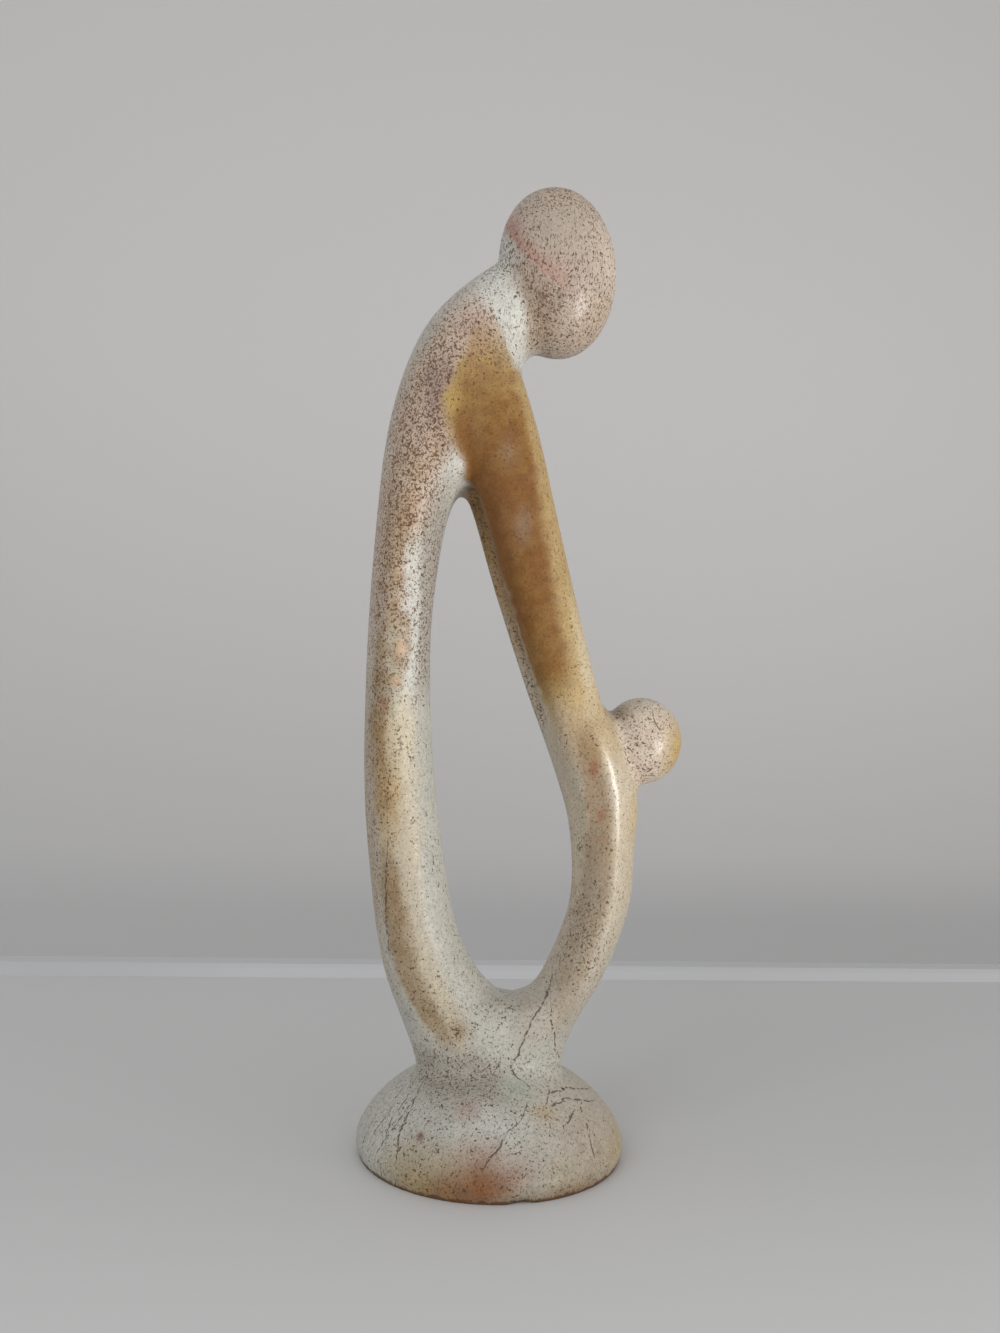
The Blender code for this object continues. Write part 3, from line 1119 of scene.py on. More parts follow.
ARMS = (
    Streak(HONEY, ((106, 19, 6), (113, 17, 8, 0.55), (122, 15, 9.5, 0.9), (135, 12, 11, 1), (150, 7.5, 10.5, 1),
        (160, 4.5, 10.5, 1), (167, 2.5, 11.2, 1), (172, 0.5, 12, 1), (176, -1, 12.6, 1), (182, -4.2, 12.4, 1),
        (190, -7.5, 10.4, 1), (198, -6.5, 8, 0.85), (204, -6, 6, 0.6), (211, -6.5, 4)), grain=0.22,
        soft=(0.22, 0.5)),
    Blotch(None, (-7.5, -11, 204), (9, 8, 8.5), 1, 0.65, 0.9),
    Streak(CARAMEL, ((104, 18, 2.5), (110, 16.5, 4, 0.5), (117, 14.5, 6.4, 0.8), (126, 12, 8, 0.95),
        (140, 9, 9.4, 1), (155, 5, 9.6, 1), (170, 0, 10, 0.8), (182, -5, 9)), soft=(0.25, 0.9)),
    Streak(AMBER, ((112, 14.5, 3), (122, 11, 5.2, 0.65), (132, 8.5, 6.8, 0.9), (142, 6.5, 7.6, 0.95),
        (155, 3, 8.6, 1), (172, -2, 9.8, 1), (182, -5.5, 9.6, 0.9), (191, -7.5, 8, 0.55), (199, -7.5, 6, 0.25),
        (206, -7, 4)), soft=(0.25, 1.1)),
    Blotch(BROWN, (16.5, -12.6, 116), (3.2, 5, 4.6), 0.6, 0.3, 0.9),
    Streak(STRAW, ((92, 21, 6), (99, 20.5, 6.5, 0.7), (108, 18.5, 7, 0.8), (113, 17, 7, 0.5), (118, 16, 6))),
    Streak(PINK, ((96, 20, 2.4), (102, 19, 3, 0.6), (109, 17, 3, 0.5), (115, 15, 3)), fine=True),
    Blotch(OCHRE, (-16.3, -13.5, 188.5), (3.2, 7, 5), 0.55, 0.3, 0.8),
    Blotch(RUSSET, (-1.5, -12, 159), (4.2, 6, 9), 0.75, None, 0.9),
    Blotch(RUSSET, (-7, -14, 175), (4, 6, 6), 0.4, None, 0.9),
    # Painted sheen: two faint pinkish-grey hazes on the amber arm.
    Blotch(MAUVE, (2.8, -14.5, 156.5), (2.6, 4, 5.5), 0.22, None, 1),
    Blotch(MAUVE, (-1.5, -15, 175.5), (2.6, 4, 5), 0.18, None, 1),
    Streak(STRAW, ((104, 24, 4), (112, 22.2, 4.2, 0.8), (118, 20.7, 3.7, 0.95), (130, 17.9, 3.2, 0.95),
        (148, 13.7, 2.8, 0.9), (168, 10, 2.9, 0.9), (182, 7, 2.9, 0.9), (194, 3.8, 2.6, 0.7), (202, 1.5, 2)),
        soft=(0.9, 0.9)),
    # The arm's front edge: golden stone with a painted highlight, paler where the rounded edge catches the light.
    Streak(BUTTER, ((104, 25, 2.2), (112, 23.2, 2.3, 0.6), (122, 20.9, 2, 0.75), (134, 18.2, 1.5, 0.5),
        (146, 15.4, 1.2)), soft=(1, 0.6), fine=True),
    # Thin cream line along the arm's back edge: a change in the stone's colour, with a painted edge highlight on it.
    Streak(BUTTER, ((78, 18, 2.4), (90, 16, 2.6, 0.7), (100, 14, 1.8, 0.7), (108, 11.2, 0.8, 0.6),
        (118, 7.5, 0.35, 0.5), (130, 3.4, 0.3, 0.35), (142, -0.7, 0.3)), soft=(0.6, 0.6), fine=True),
    Streak(RUSSET, ((118, 13, 4), (132, 9, 6.5, 0.15), (155, 3, 8, 0.22), (180, -5, 9, 0.32),
        (196, -7.5, 7, 0.32), (206, -7, 4)), fine=True, patches=43),
    Streak(OCHRE, ((104, 18, 6), (114, 16, 6, 0.18), (140, 10, 8, 0.10), (165, 3, 8, 0.08), (185, -5, 9, 0.14),
        (200, -7, 7, 0.28), (208, -7, 4)), fine=True, patches=47),
    Streak(BEIGE, ((100, 13, 6), (112, 9, 8, 0.95), (140, -1, 9, 0.95), (165, -8, 9, 0.7), (176, -11, 8)),
        grain=0.7, side=Side.FAR),
)

CHILD = (
    Streak(BEIGE, ((24, 14, 9), (36, 15, 9, 0.6), (60, 22, 10, 0.75), (90, 25, 12, 0.8), (106, 24, 12, 0.7),
        (114, 22, 9)), grain=0.18, soft=(0.3, 0.3)),
    Streak(CREAM, ((40, 24, 4), (50, 27, 4, 0.35), (63, 31, 4.4, 0.65), (75, 32.5, 4.6, 0.9),
        (88, 32.5, 4.8, 0.95), (98, 30, 5, 0.7), (106, 27, 5, 0.3), (114, 23, 4)), soft=(0.4, 0.6)),
    Streak(STRAW, ((95, 25, 6), (101, 23.5, 6.5, 0.45), (108, 21.5, 6.5, 0.55), (114, 20, 5, 0.3),
        (120, 18, 4))),
    Streak(GINGER, ((30, 15, 2.4), (38, 16.8, 2.6, 0.3), (48, 20, 2.8, 0.35), (58, 22.8, 2.8, 0.35),
        (70, 25, 2.8, 0.45), (82, 24.8, 2.8, 0.55), (92, 23.2, 2.6, 0.65), (102, 21, 2.4, 0.55),
        (109, 19.4, 2)), grain=0.32, soft=(0.9, 0.6), fine=True),
    Blotch(None, (20.5, -9, 54), (8, 9, 13), 1, 0.62, 0.9),
    Streak(BUTTER, ((58, 18.4, 1), (66, 20, 1.3, 0.5), (80, 21, 1.4, 0.6), (92, 18.6, 1.4, 0.3), (98, 17, 1)),
        fine=True),
    Streak(BROWN, ((36, 16, 3), (46, 19, 4, 0.25), (66, 24, 4.5, 0.25), (80, 26, 4, 0.25), (94, 24, 4)),
        grain=0.6, fine=True, patches=61),
    Blotch(OCHRE, (34.5, -4, 84), (3, 8, 8), 0.4, 0.3, 0.9),
    Blotch(RUST, (22.6, -11.4, 96.2), (1.3, 4, 2.9), 0.95, 0.3, 0.6),
    Blotch(RUST, (24.9, -10.2, 84.4), (1.2, 4, 1.7), 0.7, 0.4, 0.8),
    Blotch(RUST, (25.6, -9.8, 78.5), (2, 4, 1.4), 0.35, 0.5, 0.9),
    Blotch(ROSE, (37, 0, 103.7), (11, 13, 13), 0.95, 0.48, 0.25),
    Blotch(BUTTER, (36, -4, 111), (7, 9, 5), 0.45, 0.5, 0.9),
    Blotch(None, (36, -8, 99), (5, 8, 8), 1, 0.62, 0.6),
    Blotch(PINK, (37, -8, 103), (9, 9, 10), 0.35, None, 0.9, 53),
    Blotch(STRAW, (45.6, -4, 102), (6, 10, 10.5), 0.95, 0.25, 0.9),
    Blotch(OCHRE, (47, -4, 101), (5, 9, 8), 0.6, 0.25, 0.9, 59),
    Blotch(UMBER, (29.8, -5, 110.8), (3.2, 6, 2.4), 0.55, 0.9, 0.9),
)

WAIST_AND_BASE = (
    Blotch(BEIGE, (24, -12, 8), (20, 28, 14), 0.85, 0.08, 0.7),
    Streak(SLATE, ((14, -8, 8), (19, -7, 11, 0.8), (24, -9, 9, 0.8), (29, -12, 5)), grain=0.66),
    # Painted shade: grey at the bottom of the hole, where the two limbs shade the saddle between them.
    Blotch(SLATE, (2, -9.5, 37.5), (7.5, 8, 4), 0.55, 0.5, 0.8),
    Blotch(SAGE, (4, -16, 19.5), (4.2, 6, 3.4), 0.85, 0.15, 0.5),
    Blotch(SAGE, (11, -10, 28), (3.6, 8, 5), 0.7, 0.15, 0.6),
    Blotch(WHITE, (-4, -25, 14.5), (9, 6, 5), 0.7, 0.3, 0.8),
    # Darker brown towards the bottom of the base's front, stronger on the left.
    Blotch(BASE_LOW_BROWN, (-14, -28, 2), (17, 12, 9.5), 0.9, 0.5, 0.9),
    Blotch(BASE_LOW_BROWN, (14, -29, 1), (17, 9, 7.5), 0.55, 0.4, 0.9),
    Blotch(OCHRE, (30, -14, 4), (8, 12, 6), 0.4, 0.4, 0.9),
    Blotch(CLAY, (-5, -29.5, 9.5), (7, 5, 3.6), 0.5, 0.4, 0.9),
    Blotch(CLAY, (1, -31.5, 6.5), (7, 5, 4), 0.5, 0.4, 0.9),
    Blotch(RUDDY, (-5, -33, 4), (9, 6, 4.8), 1, 0.4, 0.9),
    Blotch(RUDDY, (-12, -31, 1.5), (7, 5, 3.2), 0.6, 0.5, 0.9),
    Blotch(RUDDY, (18, -28, 0), (17, 9, 2.4), 0.55, 0.5, 0.9),
    Blotch(UMBER, (-7, -33, 3), (13, 6, 6), 0.45, 0.5, 0.9, 67),
    Blotch(OCHRE, (-18, -27, 3), (14, 12, 8), 0.14, 0.5, 0.9, 71),
    Blotch(TAUPE, (22, -24, 6), (14, 12, 9), 0.3, 0.5, 0.9, 73),
    Blotch(CLAY, (-7.6, -21.4, 16.4), (3.4, 4, 2.6), 0.45, 0.6, 0.9),
    Blotch(PLUM, (-18.1, -22.9, 11.1), (1.1, 3, 1), 1, 0.8, 0.6),
    Blotch(SAND, (10.5, -21, 15.6), (3.6, 4, 2.2), 0.6, 0.5, 0.8),
    Blotch(BROWN, (-9.2, -11, 31.5), (3, 4, 2.6), 0.6, 0.6, 0.8),
)

FAR_SIDE = (
    Streak(TAN, ((60, -25, 5), (80, -26, 6, 0.6), (118, -27, 6, 0.7), (160, -26, 8, 0.8), (192, -16, 10, 0.85),
        (212, -11, 7, 0.4), (222, -9, 5)), grain=0.8, side=Side.FAR),
    Streak(CREAM, ((30, -16, 5), (50, -24, 4, 0.8), (90, -28, 3.5, 0.8), (120, -28, 3)), side=Side.FAR),
    Streak(BROWN, ((86, -25, 2), (96, -26, 3, 0.8), (118, -27.5, 3.4, 0.7), (140, -27, 2)), grain=0.7,
        side=Side.FAR),
    Streak(SAND, ((34, -16, 1.5), (45, -22, 2.2, 0.8), (62, -27, 2.2, 0.7), (80, -29, 1.8)), side=Side.FAR),
    Streak(HONEY, ((118, 15, 5), (128, 12, 7, 0.7), (150, 5, 9, 0.9), (176, -5, 9, 0.9), (194, -8, 7, 0.6),
        (202, -8, 4)), grain=0.5, side=Side.FAR, soft=(0.5, 0.5)),
    Blotch(AMBER, (-2, 15, 168), (8, 6, 17), 0.8, None, 0.9),
    Blotch(CLAY, (14, 13, 236), (4, 6, 9), 0.5, 0.4, 0.9),
    Streak(BEIGE, ((28, 15, 8), (45, 18, 8, 0.6), (80, 26, 9, 0.8), (104, 24, 9, 0.7), (112, 22, 8)), grain=0.4,
        side=Side.FAR),
    Streak(TAUPE, ((50, 21, 2), (64, 25, 3, 0.7), (84, 28, 3, 0.7), (98, 27, 2)), grain=0.6, side=Side.FAR),
    Blotch(RUST, (12, 29, 6), (9, 6, 5), 0.6, 0.4, 0.9),
    Blotch(OLIVE, (-14, 28, 4), (14, 9, 6), 0.5, 0.4, 0.9),
)

# Where hands have rubbed the stone to a shine
RUBBED = (
    Streak(None, ((76, 29, 5), (82, 28, 5, 0.6), (90, 26, 5, 1), (97, 25, 5, 1), (103, 24, 5, 0.2),
        (108, 22, 4)), soft=(0.6, 0.6)),
    Blotch(None, (41.4, -8.9, 101), (6, 6, 7), 0.5, None, 0.9),
    Blotch(None, (18.5, -10.7, 219), (7, 7, 9), 0.5, None, 0.9),
    Blotch(None, (0.5, -14.5, 166), (6, 6, 18), 0.3, None, 0.9),
)

MARKS = (
    Mark((-26.4, -9.7, 103.6), (0.7, 3, 2), 0.75),
    Mark((-26.1, -9.7, 100.4), (1, 3, 1.2), 0.7),
    Mark((-23, -8.9, 98), (0.6, 3, 2), 0.6),
    Mark((-22.6, -9, 112.5), (0.6, 3, 1.6), 0.6),
    Mark((-22.2, -9.4, 82.2), (0.45, 3, 1), 0.8),
    Mark((-18.9, -7.2, 83.6), (0.4, 3, 0.9), 0.7),
    Mark((-16.8, -7.1, 71), (0.35, 3, 1.8), 0.8),
    Mark((-15.2, -6.7, 65.5), (0.35, 3, 1.2), 0.8),
    Mark((9.3, -10.5, 215), (1.2, 4, 0.8), 0.75),
    Mark((20.8, -4.5, 76), (0.55, 3, 1.1), 0.9),
    Mark((24.1, -8, 67.6), (0.5, 3, 0.5), 0.9),
    Mark((-9.7, -11, 31), (0.8, 3, 1.4), 0.85),
)

CRACKS = (
    Crack(((19.2, 8.1), (19.6, 7.9, 0.3), (21.6, 4.7, 0.45), (23.2, 3.5, 0.45), (25.5, 5.1, 0.3),
        (29.9, 6.9, 0.4), (33.9, 8.5, 0.35), (37.7, 11.5, 0.4), (41.3, 13.5, 0.3), (45, 14.5))),
    Crack(((25.5, 15.4), (27, 15, 0.3), (30.4, 14.5, 0.35), (35.3, 13.2, 0.35), (38, 13.6)), broken=True),
    Crack(((48, -26.8), (52, -27.2, 0.25), (60, -28.1, 0.28), (69, -28.5, 0.28), (78, -28.1))),
    Crack(((104.5, 41.2), (105.7, 40.4, 0.3), (109, 38.7, 0.3), (113, 38.6))),
    Crack(((19, 42), (19.4, 41, 0.9), (23.2, 27.4, 0.9), (23.8, 26)), Track.OUT),
    Crack(((21, 18.5), (21.8, 17.6, 0.9), (24.5, 12, 0.8), (27.1, 2.3, 0.8), (29, -0.4, 0.8), (31.6, -6.7, 0.7),
        (32.6, -8.5)), Track.OUT),
    Crack(((26, 27), (27, 25.9, 0.7), (29.3, 22, 0.7), (30.5, 20)), Track.OUT, broken=True),
    Crack(((18.5, -66), (19.8, -62.9, 0.8), (25.4, -53, 0.7), (29.6, -50.6, 0.7), (32.4, -45.8, 0.6),
        (33.2, -45)), Track.OUT),
    Crack(((19.5, -75), (20.5, -72.7, 0.8), (24, -62.7, 0.8), (25.6, -61, 0.7), (28, -59)),
        Track.OUT, broken=True),
    Crack(((22.5, -77), (23.5, -74.7, 0.6), (25.3, -71.8, 0.6), (26.5, -70)), Track.OUT),
    Crack(((27.5, -62), (28.8, -60.4, 0.7), (31.1, -56.7, 0.7), (32.5, -57.5, 0.7), (33.6, -58.5)),
        Track.OUT),
    Crack(((26, -68), (28, -66, 0.6), (31, -66.5, 0.6), (33, -66)), Track.OUT),
    Crack(((30, -75), (31.3, -73.1, 0.7), (32.6, -72, 0.7), (33.5, -72)), Track.OUT),
    Crack(((40, 20), (44, 20, 0.5), (60, 20.6, 0.5), (80, 24.4, 0.5), (88, 25.5)), Track.ROUND,
        broken=True),
    Crack(((34, 22.9), (37, 22.8, 0.5), (49, 22.3, 0.5), (66, 25.4, 0.5), (74, 26.5)), Track.ROUND,
        broken=True),
    Crack(((33, 27.2), (35, 27, 0.35), (45.6, 25.6, 0.35), (50, 25)), Track.ROUND, broken=True),
    Crack(((24, 56), (25.5, 53.5, 0.9), (29, 47.5, 0.8), (31.5, 44, 0.8), (33, 43)), Track.OUT,
        broken=True),
    Crack(((22, -58), (23.5, -57.5, 1.1), (27, -55, 1), (30, -56, 0.9), (31.5, -55.5)), Track.OUT,
        broken=True),
    Crack(((20.5, -150), (22, -152, 0.8), (27, -146, 0.7), (32, -141, 0.7), (33.5, -140)),
        Track.OUT, side=Side.FAR),
    Crack(((24, 0), (28, 2, 0.35), (34, -1, 0.35), (42, -4)), side=Side.FAR),
)


@dataclass(frozen=True)
class SoapstoneFinish:
    """Polished, waxed soapstone: pale and speckled, with amber, ochre and brown clouding.

    The clouds are painted on the skin's points, as the attributes tone, grain and polish; a few of them are painted
    highlights and painted shade. The
    material adds what is finer: mottling, grains, small marks, hairlines, a painted contact shadow along the
    underside, gloss and relief.
    grain_level is the noise above which bare stone has a grain, and grain_fall is how far that
    falls where the stone is densely speckled. head_above is where the grains become drawn out,
    in millimetres. relief is the bump's depth in metres.
    """

    layers: tuple[Streak | Blotch, ...] = COLUMN + WAIST_AND_BASE + ARMS + CHILD + MOTHERS_HEAD + FAR_SIDE
    marks: tuple[Mark, ...] = MARKS
    cracks: tuple[Crack, ...] = CRACKS
    rubbed: tuple[Streak | Blotch, ...] = RUBBED
    speck_and_shadow: Colour = (0.115, 0.052, 0.017)
    crack: Colour = (0.095, 0.06, 0.035)
    plain_grain: float = 0.30
    grain_drift: float = 0.25
    grain_level: float = 0.655
    grain_fall: float = 0.122
    head_above: tuple[float, float] = (204.0, 212.0)
    darker: float = 0.62
    lighter: float = 1.30
    speck_body: float = 0.62
    roughness: float = 0.50
    coat: float = 0.06
    coat_roughness: float = 0.19
    ior: float = 1.45
    relief: float = 0.00022

    def paint(self, stone: Mesh) -> None:
        """Lays each cloud's colour and speckling over the ones before it, on every point of the skin.

        Args:
            stone: The skin, which gets the attributes tone, a colour, and grain and polish, numbers.
        """
        places = Places.of(stone)
        drift = clouds(places.broad, 0.05, 4, 3)
        pale = smoothstep(-0.3, 0.3, drift)[:, None]
        tone = pale * np.array(PALE) + (1 - pale) * np.array(GREY)
        grain = self.plain_grain + self.grain_drift * drift
        for layer in self.layers:
            mask = layer.mask(places)
            if layer.colour is not None:
                tone += mask[:, None] * (np.array(layer.colour) - tone)
            if layer.grain is not None:
                grain += mask * (layer.grain - grain)
        polish = np.max([rubbed.mask(places) for rubbed in self.rubbed], axis=0)
        solid = np.concatenate([tone, np.ones((len(tone), 1))], axis=1).ravel()
        for name, kind, slot, values in (
            ("tone", "FLOAT_COLOR", "color", solid),
            ("grain", "FLOAT", "value", grain),
            ("polish", "FLOAT", "value", polish),
        ):
            stone.attributes.new(name, kind, "POINT").data.foreach_set(slot, values)

    def ground(self, graph: Graph) -> Ground:
        """Reads the stone's place in millimetres, plain and stirred by noise.

        Args:
            graph: The material's graph.

        Returns:
            The places, the tracks that hairlines run along and the masks of the two sides.
        """
        place = graph.node("ShaderNodeTexCoord", {}, {}).outputs["Object"]
        point = graph.vector("SCALE", place, 1000.0)
        _, stir = graph.noise(point, 0.55, 2.0, 0.55)
        stir = graph.vector("SCALE", graph.vector("SUBTRACT", stir, (0.5, 0.5, 0.5)), 1.1)
        spot = graph.vector("ADD", point, stir)
        x, y, z = graph.split(spot)
        radius = graph.math("SQRT", x * x + y * y)
        bearing = graph.math("ARCTAN2", x, y * -1.0) * (180 / math.pi)
        on_base = z.step(24.0, 20.0)
        tracks = {Track.UP: GAUGES[Track.UP].share(z, x)}
        for track, pair in ((Track.OUT, (radius, bearing)), (Track.ROUND, (bearing, radius))):
            along, across = GAUGES[track].share(*pair)
            tracks[track] = (along * on_base, across)
        return Ground(graph, point, spot, tracks, {Side.NEAR: y.step(1.0, -2.0), Side.FAR: y.step(-1.0, 2.0)})

    def grains(self, ground: Ground, grain: Value) -> tuple[Value, Value]:
        """Irregular dark grains, where noise rises past a level that falls as the grain gets denser.

        The fine ones are round on the figure and drawn out upwards on the mother's head.

        Args:
            ground: Where the stone is read.
            grain: How densely the stone is speckled.

        Returns:
            The masks of the fine grains and of the coarse ones, from 0 to 1.
        """
        graph = ground.graph
        _, _, z = graph.split(ground.point)
        level = self.grain_level - self.grain_fall * grain
        found = []
        for stretch, scale in (((1.0, 1.0, 0.8), 2.1), ((1.0, 1.0, 0.33), 2.3)):
            drawn = graph.vector("MULTIPLY", ground.point, stretch)
            noise, _ = graph.noise(drawn, scale, 1.5, 0.6)
            found.append(noise.step(level, level + 0.03))
        on_head = z.step(*self.head_above)
        fine = found[0] * (1.0 - on_head) + found[1] * on_head
        coarse, _ = graph.noise(ground.point, 1.25, 2.0, 0.62)
        return fine, coarse.step(level + 0.022, level + 0.042)

    def hairlines(self, ground: Ground) -> Value:
        """Every crack and small mark.

        Args:
            ground: Where the stone is read.

        Returns:
            The mask, from 0 to 1.
        """
        gaps = ground.graph.noise(ground.point, 0.9, 1.0)[0].step(0.44, 0.52)
        shown = {False: 0.35 + gaps * 0.65, True: gaps}
        lines = []
        for side, broken in product(Side, (False, True)):
            found = [crack.mask(ground) for crack in self.cracks if (crack.side, crack.broken) == (side, broken)]
            if found:
                lines.append(reduce(Value.most, found) * ground.sides[side] * shown[broken])
        flecks = ground.graph.noise(ground.point, 1.5, 1.0)[0].step(0.49, 0.53)
        lines += [mark.mask(ground) * flecks for mark in self.marks]
        return reduce(Value.most, lines)

    def material(self) -> bpy.types.Material:
        """Builds the node material.

        Returns:
            The material, which reads Object coordinates and the skin's own attributes.
        """
        made = bpy.data.materials.new("polished_soapstone")
        made.use_nodes = True
        graph = Graph(made.node_tree)
        shader = made.node_tree.nodes["Principled BSDF"]
        shader.inputs["IOR"].default_value = self.ior
        shader.inputs["Coat Roughness"].default_value = self.coat_roughness
        ground = self.ground(graph)
        tone, dense, rubbed = (
            graph.node("ShaderNodeAttribute", {"attribute_name": name}, {}).outputs
            for name in ("tone", "grain", "polish")
        )
        colour, grain, polish = tone["Color"], Value(graph, dense["Fac"]), Value(graph, rubbed["Fac"])
        mottle, _ = graph.noise(ground.point, 0.45, 4.0, 0.65)
        fine, _ = graph.noise(ground.point, 1.5, 3.0, 0.65)
        for noise, low, high, strength, shade in (
            (mottle, 0.52, 0.72, 0.28, self.darker),
            (mottle, 0.48, 0.30, 0.25, self.lighter),
            (fine, 0.50, 0.64, 0.36, self.darker),
            (fine, 0.50, 0.37, 0.30, self.lighter),
        ):
            colour = graph.tint(noise.step(low, high) * strength, colour, graph.vector("SCALE", colour, shade))
        grains, spots = self.grains(ground, grain)
        lines = self.hairlines(ground)
        _, _, z = graph.split(ground.point)
        # Painted contact shadow: a thin dark band, frayed by noise, in the lowest millimetre or so, where the stone
        # meets the counter. It takes the specks' dark colour.
        contact_shadow = (z + (mottle - 0.5) * 3.0).step(1.15, 0.45)
        speck_and_shadow, crack = (*self.speck_and_shadow, 1.0), (*self.crack, 1.0)
        for share, over in (
            (grains * 0.80, graph.tint(self.speck_body, colour, speck_and_shadow)),
            (grains * grain * 0.62, speck_and_shadow),
            (spots * 0.88, speck_and_shadow),
            (contact_shadow * 0.90, speck_and_shadow),
            (lines * 0.85, crack),
        ):
            colour = graph.tint(share, colour, over)
        rough = self.roughness + (mottle - 0.5) * 0.30 + grains * 0.10 + lines * 0.30 - polish * 0.12
        height = (fine - 0.5) * 0.16 + (mottle - 0.5) * 0.25 - grains * 0.08 - spots * 0.16 - lines * 0.80
        bump = graph.node("ShaderNodeBump", {}, {"Strength": 1.0, "Distance": self.relief, "Height": height})
        for name, source in (
            ("Base Color", colour),
            ("Roughness", rough.socket),
            ("Coat Weight", (self.coat + polish * 0.45).socket),
            ("Normal", bump.outputs[0]),
        ):
            graph.tree.links.new(source, shader.inputs[name])
        return made


# The studio


@dataclass(frozen=True)
class Lamp:
    """A soft area light: where it stands, what it looks at, its two sides in metres and its power."""

    name: str
    place: tuple[float, float, float]
    aim: tuple[float, float, float]
    size: tuple[float, float]
    power: float
    colour: Colour = (1.0, 1.0, 1.0)

    def build(self) -> None:
        """Adds the lamp to the scene."""
        light = bpy.data.lights.new(self.name, "AREA")
        light.shape, light.size, light.size_y = "RECTANGLE", self.size[0], self.size[1]
        light.energy, light.color = self.power, self.colour
        lamp = put_in_scene(self.name, light)
        lamp.location = self.place
        lamp.rotation_mode = "QUATERNION"
        lamp.rotation_quaternion = (Vector(self.aim) - Vector(self.place)).to_track_quat("-Z", "Y")


@dataclass(frozen=True)
class Viewpoint:
    """Where the photograph was taken from: close, at less than half of the figure's height.

    lens and sensor are in millimetres, the other lengths in metres and the angles in degrees. turn
    is how far the camera stands behind the figure's side view, pitch how far it looks up and roll
    how far it is tipped.
    """

    lens: float = 27.0
    sensor: float = 36.0
    distance: float = 0.26240
    height: float = 0.10024
    aside: float = 0.000656
    turn: float = 5.5
    pitch: float = 4.75
    roll: float = 1.65

    def build(self) -> None:
        """Stands the scene's camera there."""
        camera = bpy.data.cameras.new("camera")
        camera.lens, camera.sensor_width = self.lens, self.sensor
        camera.clip_start, camera.clip_end = 0.01, 10.0
        holder = put_in_scene("camera", camera)
        turn, pitch, roll = (math.radians(angle) for angle in (self.turn, self.pitch, self.roll))
        ahead = Vector((math.sin(turn), math.cos(turn), 0.0))
        right = Vector((math.cos(turn), -math.sin(turn), 0.0))
        look = ahead * math.cos(pitch) + Vector((0, 0, math.sin(pitch)))
        up = Vector((0, 0, math.cos(pitch))) - ahead * math.sin(pitch)
        across, upright = right * math.cos(roll) + up * math.sin(roll), up * math.cos(roll) - right * math.sin(roll)
        place = -self.distance * ahead - self.aside * right + Vector((0, 0, self.height))
        holder.matrix_world = Matrix.Translation(place) @ Matrix((across, upright, -look)).transposed().to_4x4()
        bpy.context.scene.camera = holder


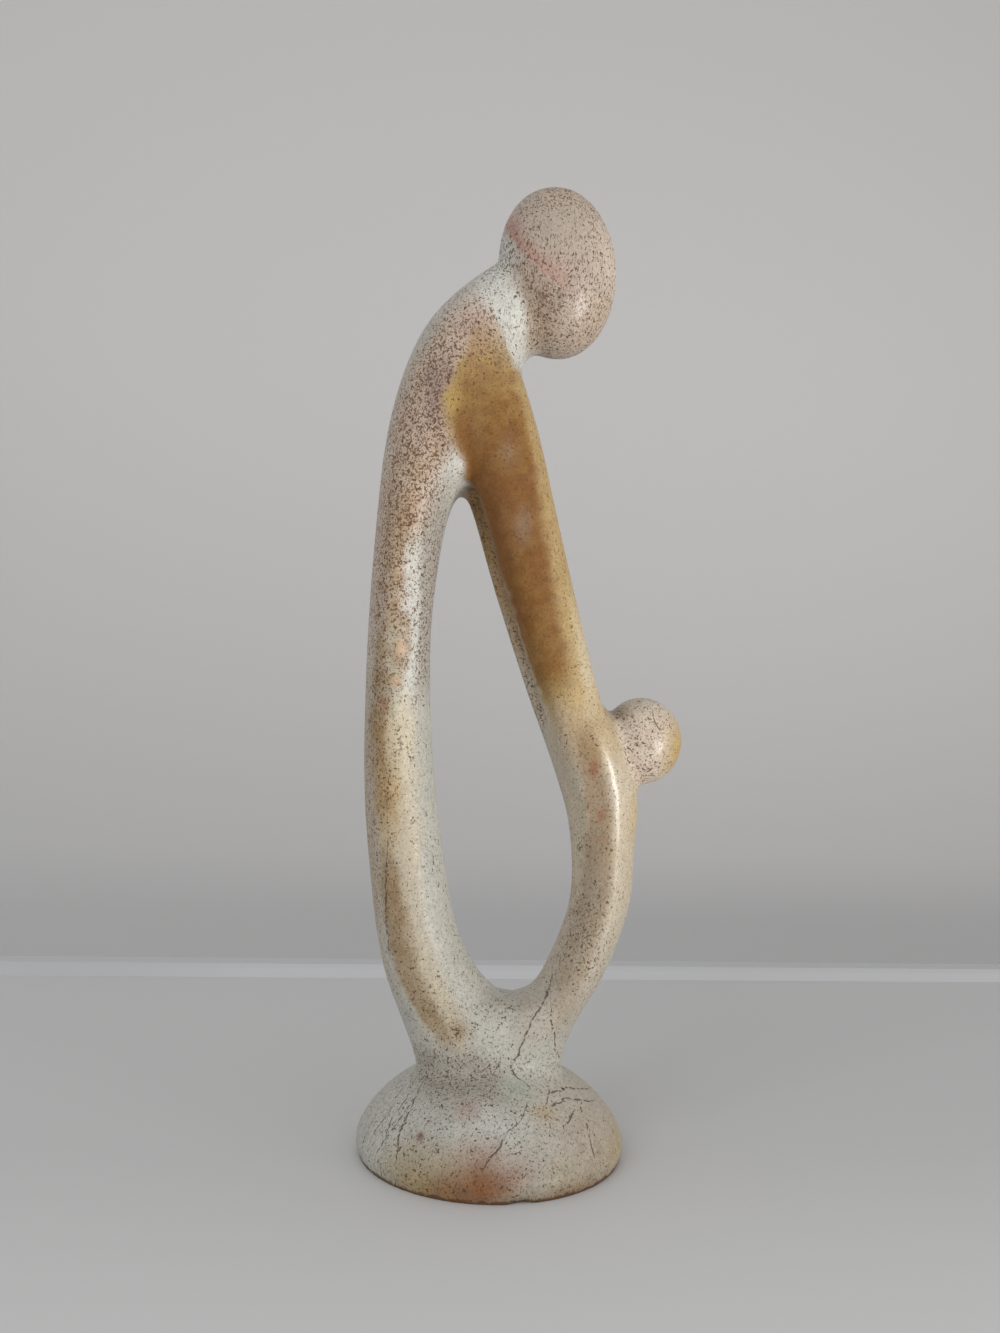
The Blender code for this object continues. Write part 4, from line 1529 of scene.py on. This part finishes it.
@dataclass
class Studio:
    """A pale counter in front of a plain wall, with soft light from the right.

    Lengths are in metres. sill holds rows of y past the counter's back edge and z.
    """

    counter_front: float = -0.20
    counter_back: float = 0.185
    counter_reach: float = 1.40
    counter_lip: float = -0.03
    wall_back: float = 0.62
    wall_top: float = 1.2
    bottom: float = -0.30
    edge_round: float = 0.004
    sill: tuple[Row, ...] = (
        (-0.004, 0.0), (-0.002, 0.0035), (0.0, 0.0050), (0.0115, 0.0050), (0.012, 0.0047), (0.012, -0.30),
    )
    paint_roughness: float = 0.55
    counter_colour: Colour = (0.70, 0.70, 0.69)
    sill_colour: Colour = (0.64, 0.645, 0.65)
    wall_colour: Colour = (0.69, 0.68, 0.665)
    ambient: Colour = (0.50, 0.50, 0.51)
    lamps: tuple[Lamp, ...] = (
        Lamp("window", (0.60, -0.62, -0.06), (0.0, 0.0, 0.12), (0.28, 0.34), 5.0, (1.0, 0.98, 0.95)),
        Lamp("room", (-0.60, -0.70, 0.60), (0.0, 0.0, 0.12), (0.60, 0.60), 1.8, (0.95, 0.97, 1.0)),
    )

    viewpoint: Viewpoint = Viewpoint()

    def sweep(self, name: str, profile: Array, colour: Colour, smooth: bool = False) -> None:
        """Carries a profile in the YZ plane along X.

        Args:
            name: The piece's name.
            profile: Its points as rows of y and z.
            colour: The paint's colour.
            smooth: Whether it is shaded smooth.
        """
        across = np.linspace(-self.counter_reach, self.counter_reach, 9)
        x, row = np.meshgrid(across, np.arange(len(profile)), indexing="ij")
        points = np.stack([x, profile[row, 0], profile[row, 1]], axis=-1)
        count, long = points.shape[:2]
        first, second = np.meshgrid(np.arange(count - 1), np.arange(long - 1), indexing="ij")
        corner = first * long + second
        faces = np.stack([corner, corner + long, corner + long + 1, corner + 1], axis=-1).reshape(-1, 4)
        mesh = bpy.data.meshes.new(name)
        mesh.from_pydata(points.reshape(-1, 3).tolist(), [], faces.tolist())
        mesh.polygons.foreach_set("use_smooth", [smooth] * len(mesh.polygons))
        paint = bpy.data.materials.new(name + "_paint")
        paint.use_nodes = True
        shader = paint.node_tree.nodes["Principled BSDF"]
        shader.inputs["Base Color"].default_value = (*colour, 1.0)
        shader.inputs["Roughness"].default_value = self.paint_roughness
        mesh.materials.append(paint)
        put_in_scene(name, mesh)

    def build(self) -> None:
        """Makes the counter, the wall, the lamps, the sky and the camera."""
        turn, front, back = np.linspace(0, np.pi / 2, 8), self.counter_front, self.counter_back + self.edge_round
        edge = [self.counter_back + self.edge_round * np.sin(turn), self.edge_round * (np.cos(turn) - 1)]
        start = [[front, self.counter_lip], [front, 0.0], [0.0, 0.0]]
        counter = np.concatenate([start, np.stack(edge, axis=-1), [[back, self.bottom]]])
        self.sweep("counter", counter, self.counter_colour, smooth=True)
        self.sweep("sill", np.array(self.sill) + np.array([back, 0.0]), self.sill_colour)
        wall = np.array([[self.wall_back, z] for z in (self.bottom, 0.2, self.wall_top)])
        self.sweep("wall", wall, self.wall_colour)
        world = bpy.data.worlds.new("room light")
        world.use_nodes = True
        world.node_tree.nodes["Background"].inputs[0].default_value = (*self.ambient, 1.0)
        bpy.context.scene.world = world
        for lamp in self.lamps:
            lamp.build()
        self.viewpoint.build()
        bpy.context.scene.view_settings.view_transform = "Standard"


def main() -> None:
    """Builds the studio and the stone, and reports each piece."""
    logging.basicConfig(level=logging.INFO, format="%(name)s: %(message)s")
    Studio().build()
    log.info("studio ready")
    stone = Carving().build()
    finish = SoapstoneFinish()
    finish.paint(stone.data)
    stone.data.materials.append(finish.material())
    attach(stone, "root")
    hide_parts(CAD_NODE)
    triangles = sum(len(face.vertices) - 2 for face in stone.data.polygons)
    log.info("%s: %d points, %d triangles", stone.name, len(stone.data.vertices), triangles)


if __name__ == "__main__":
    main()
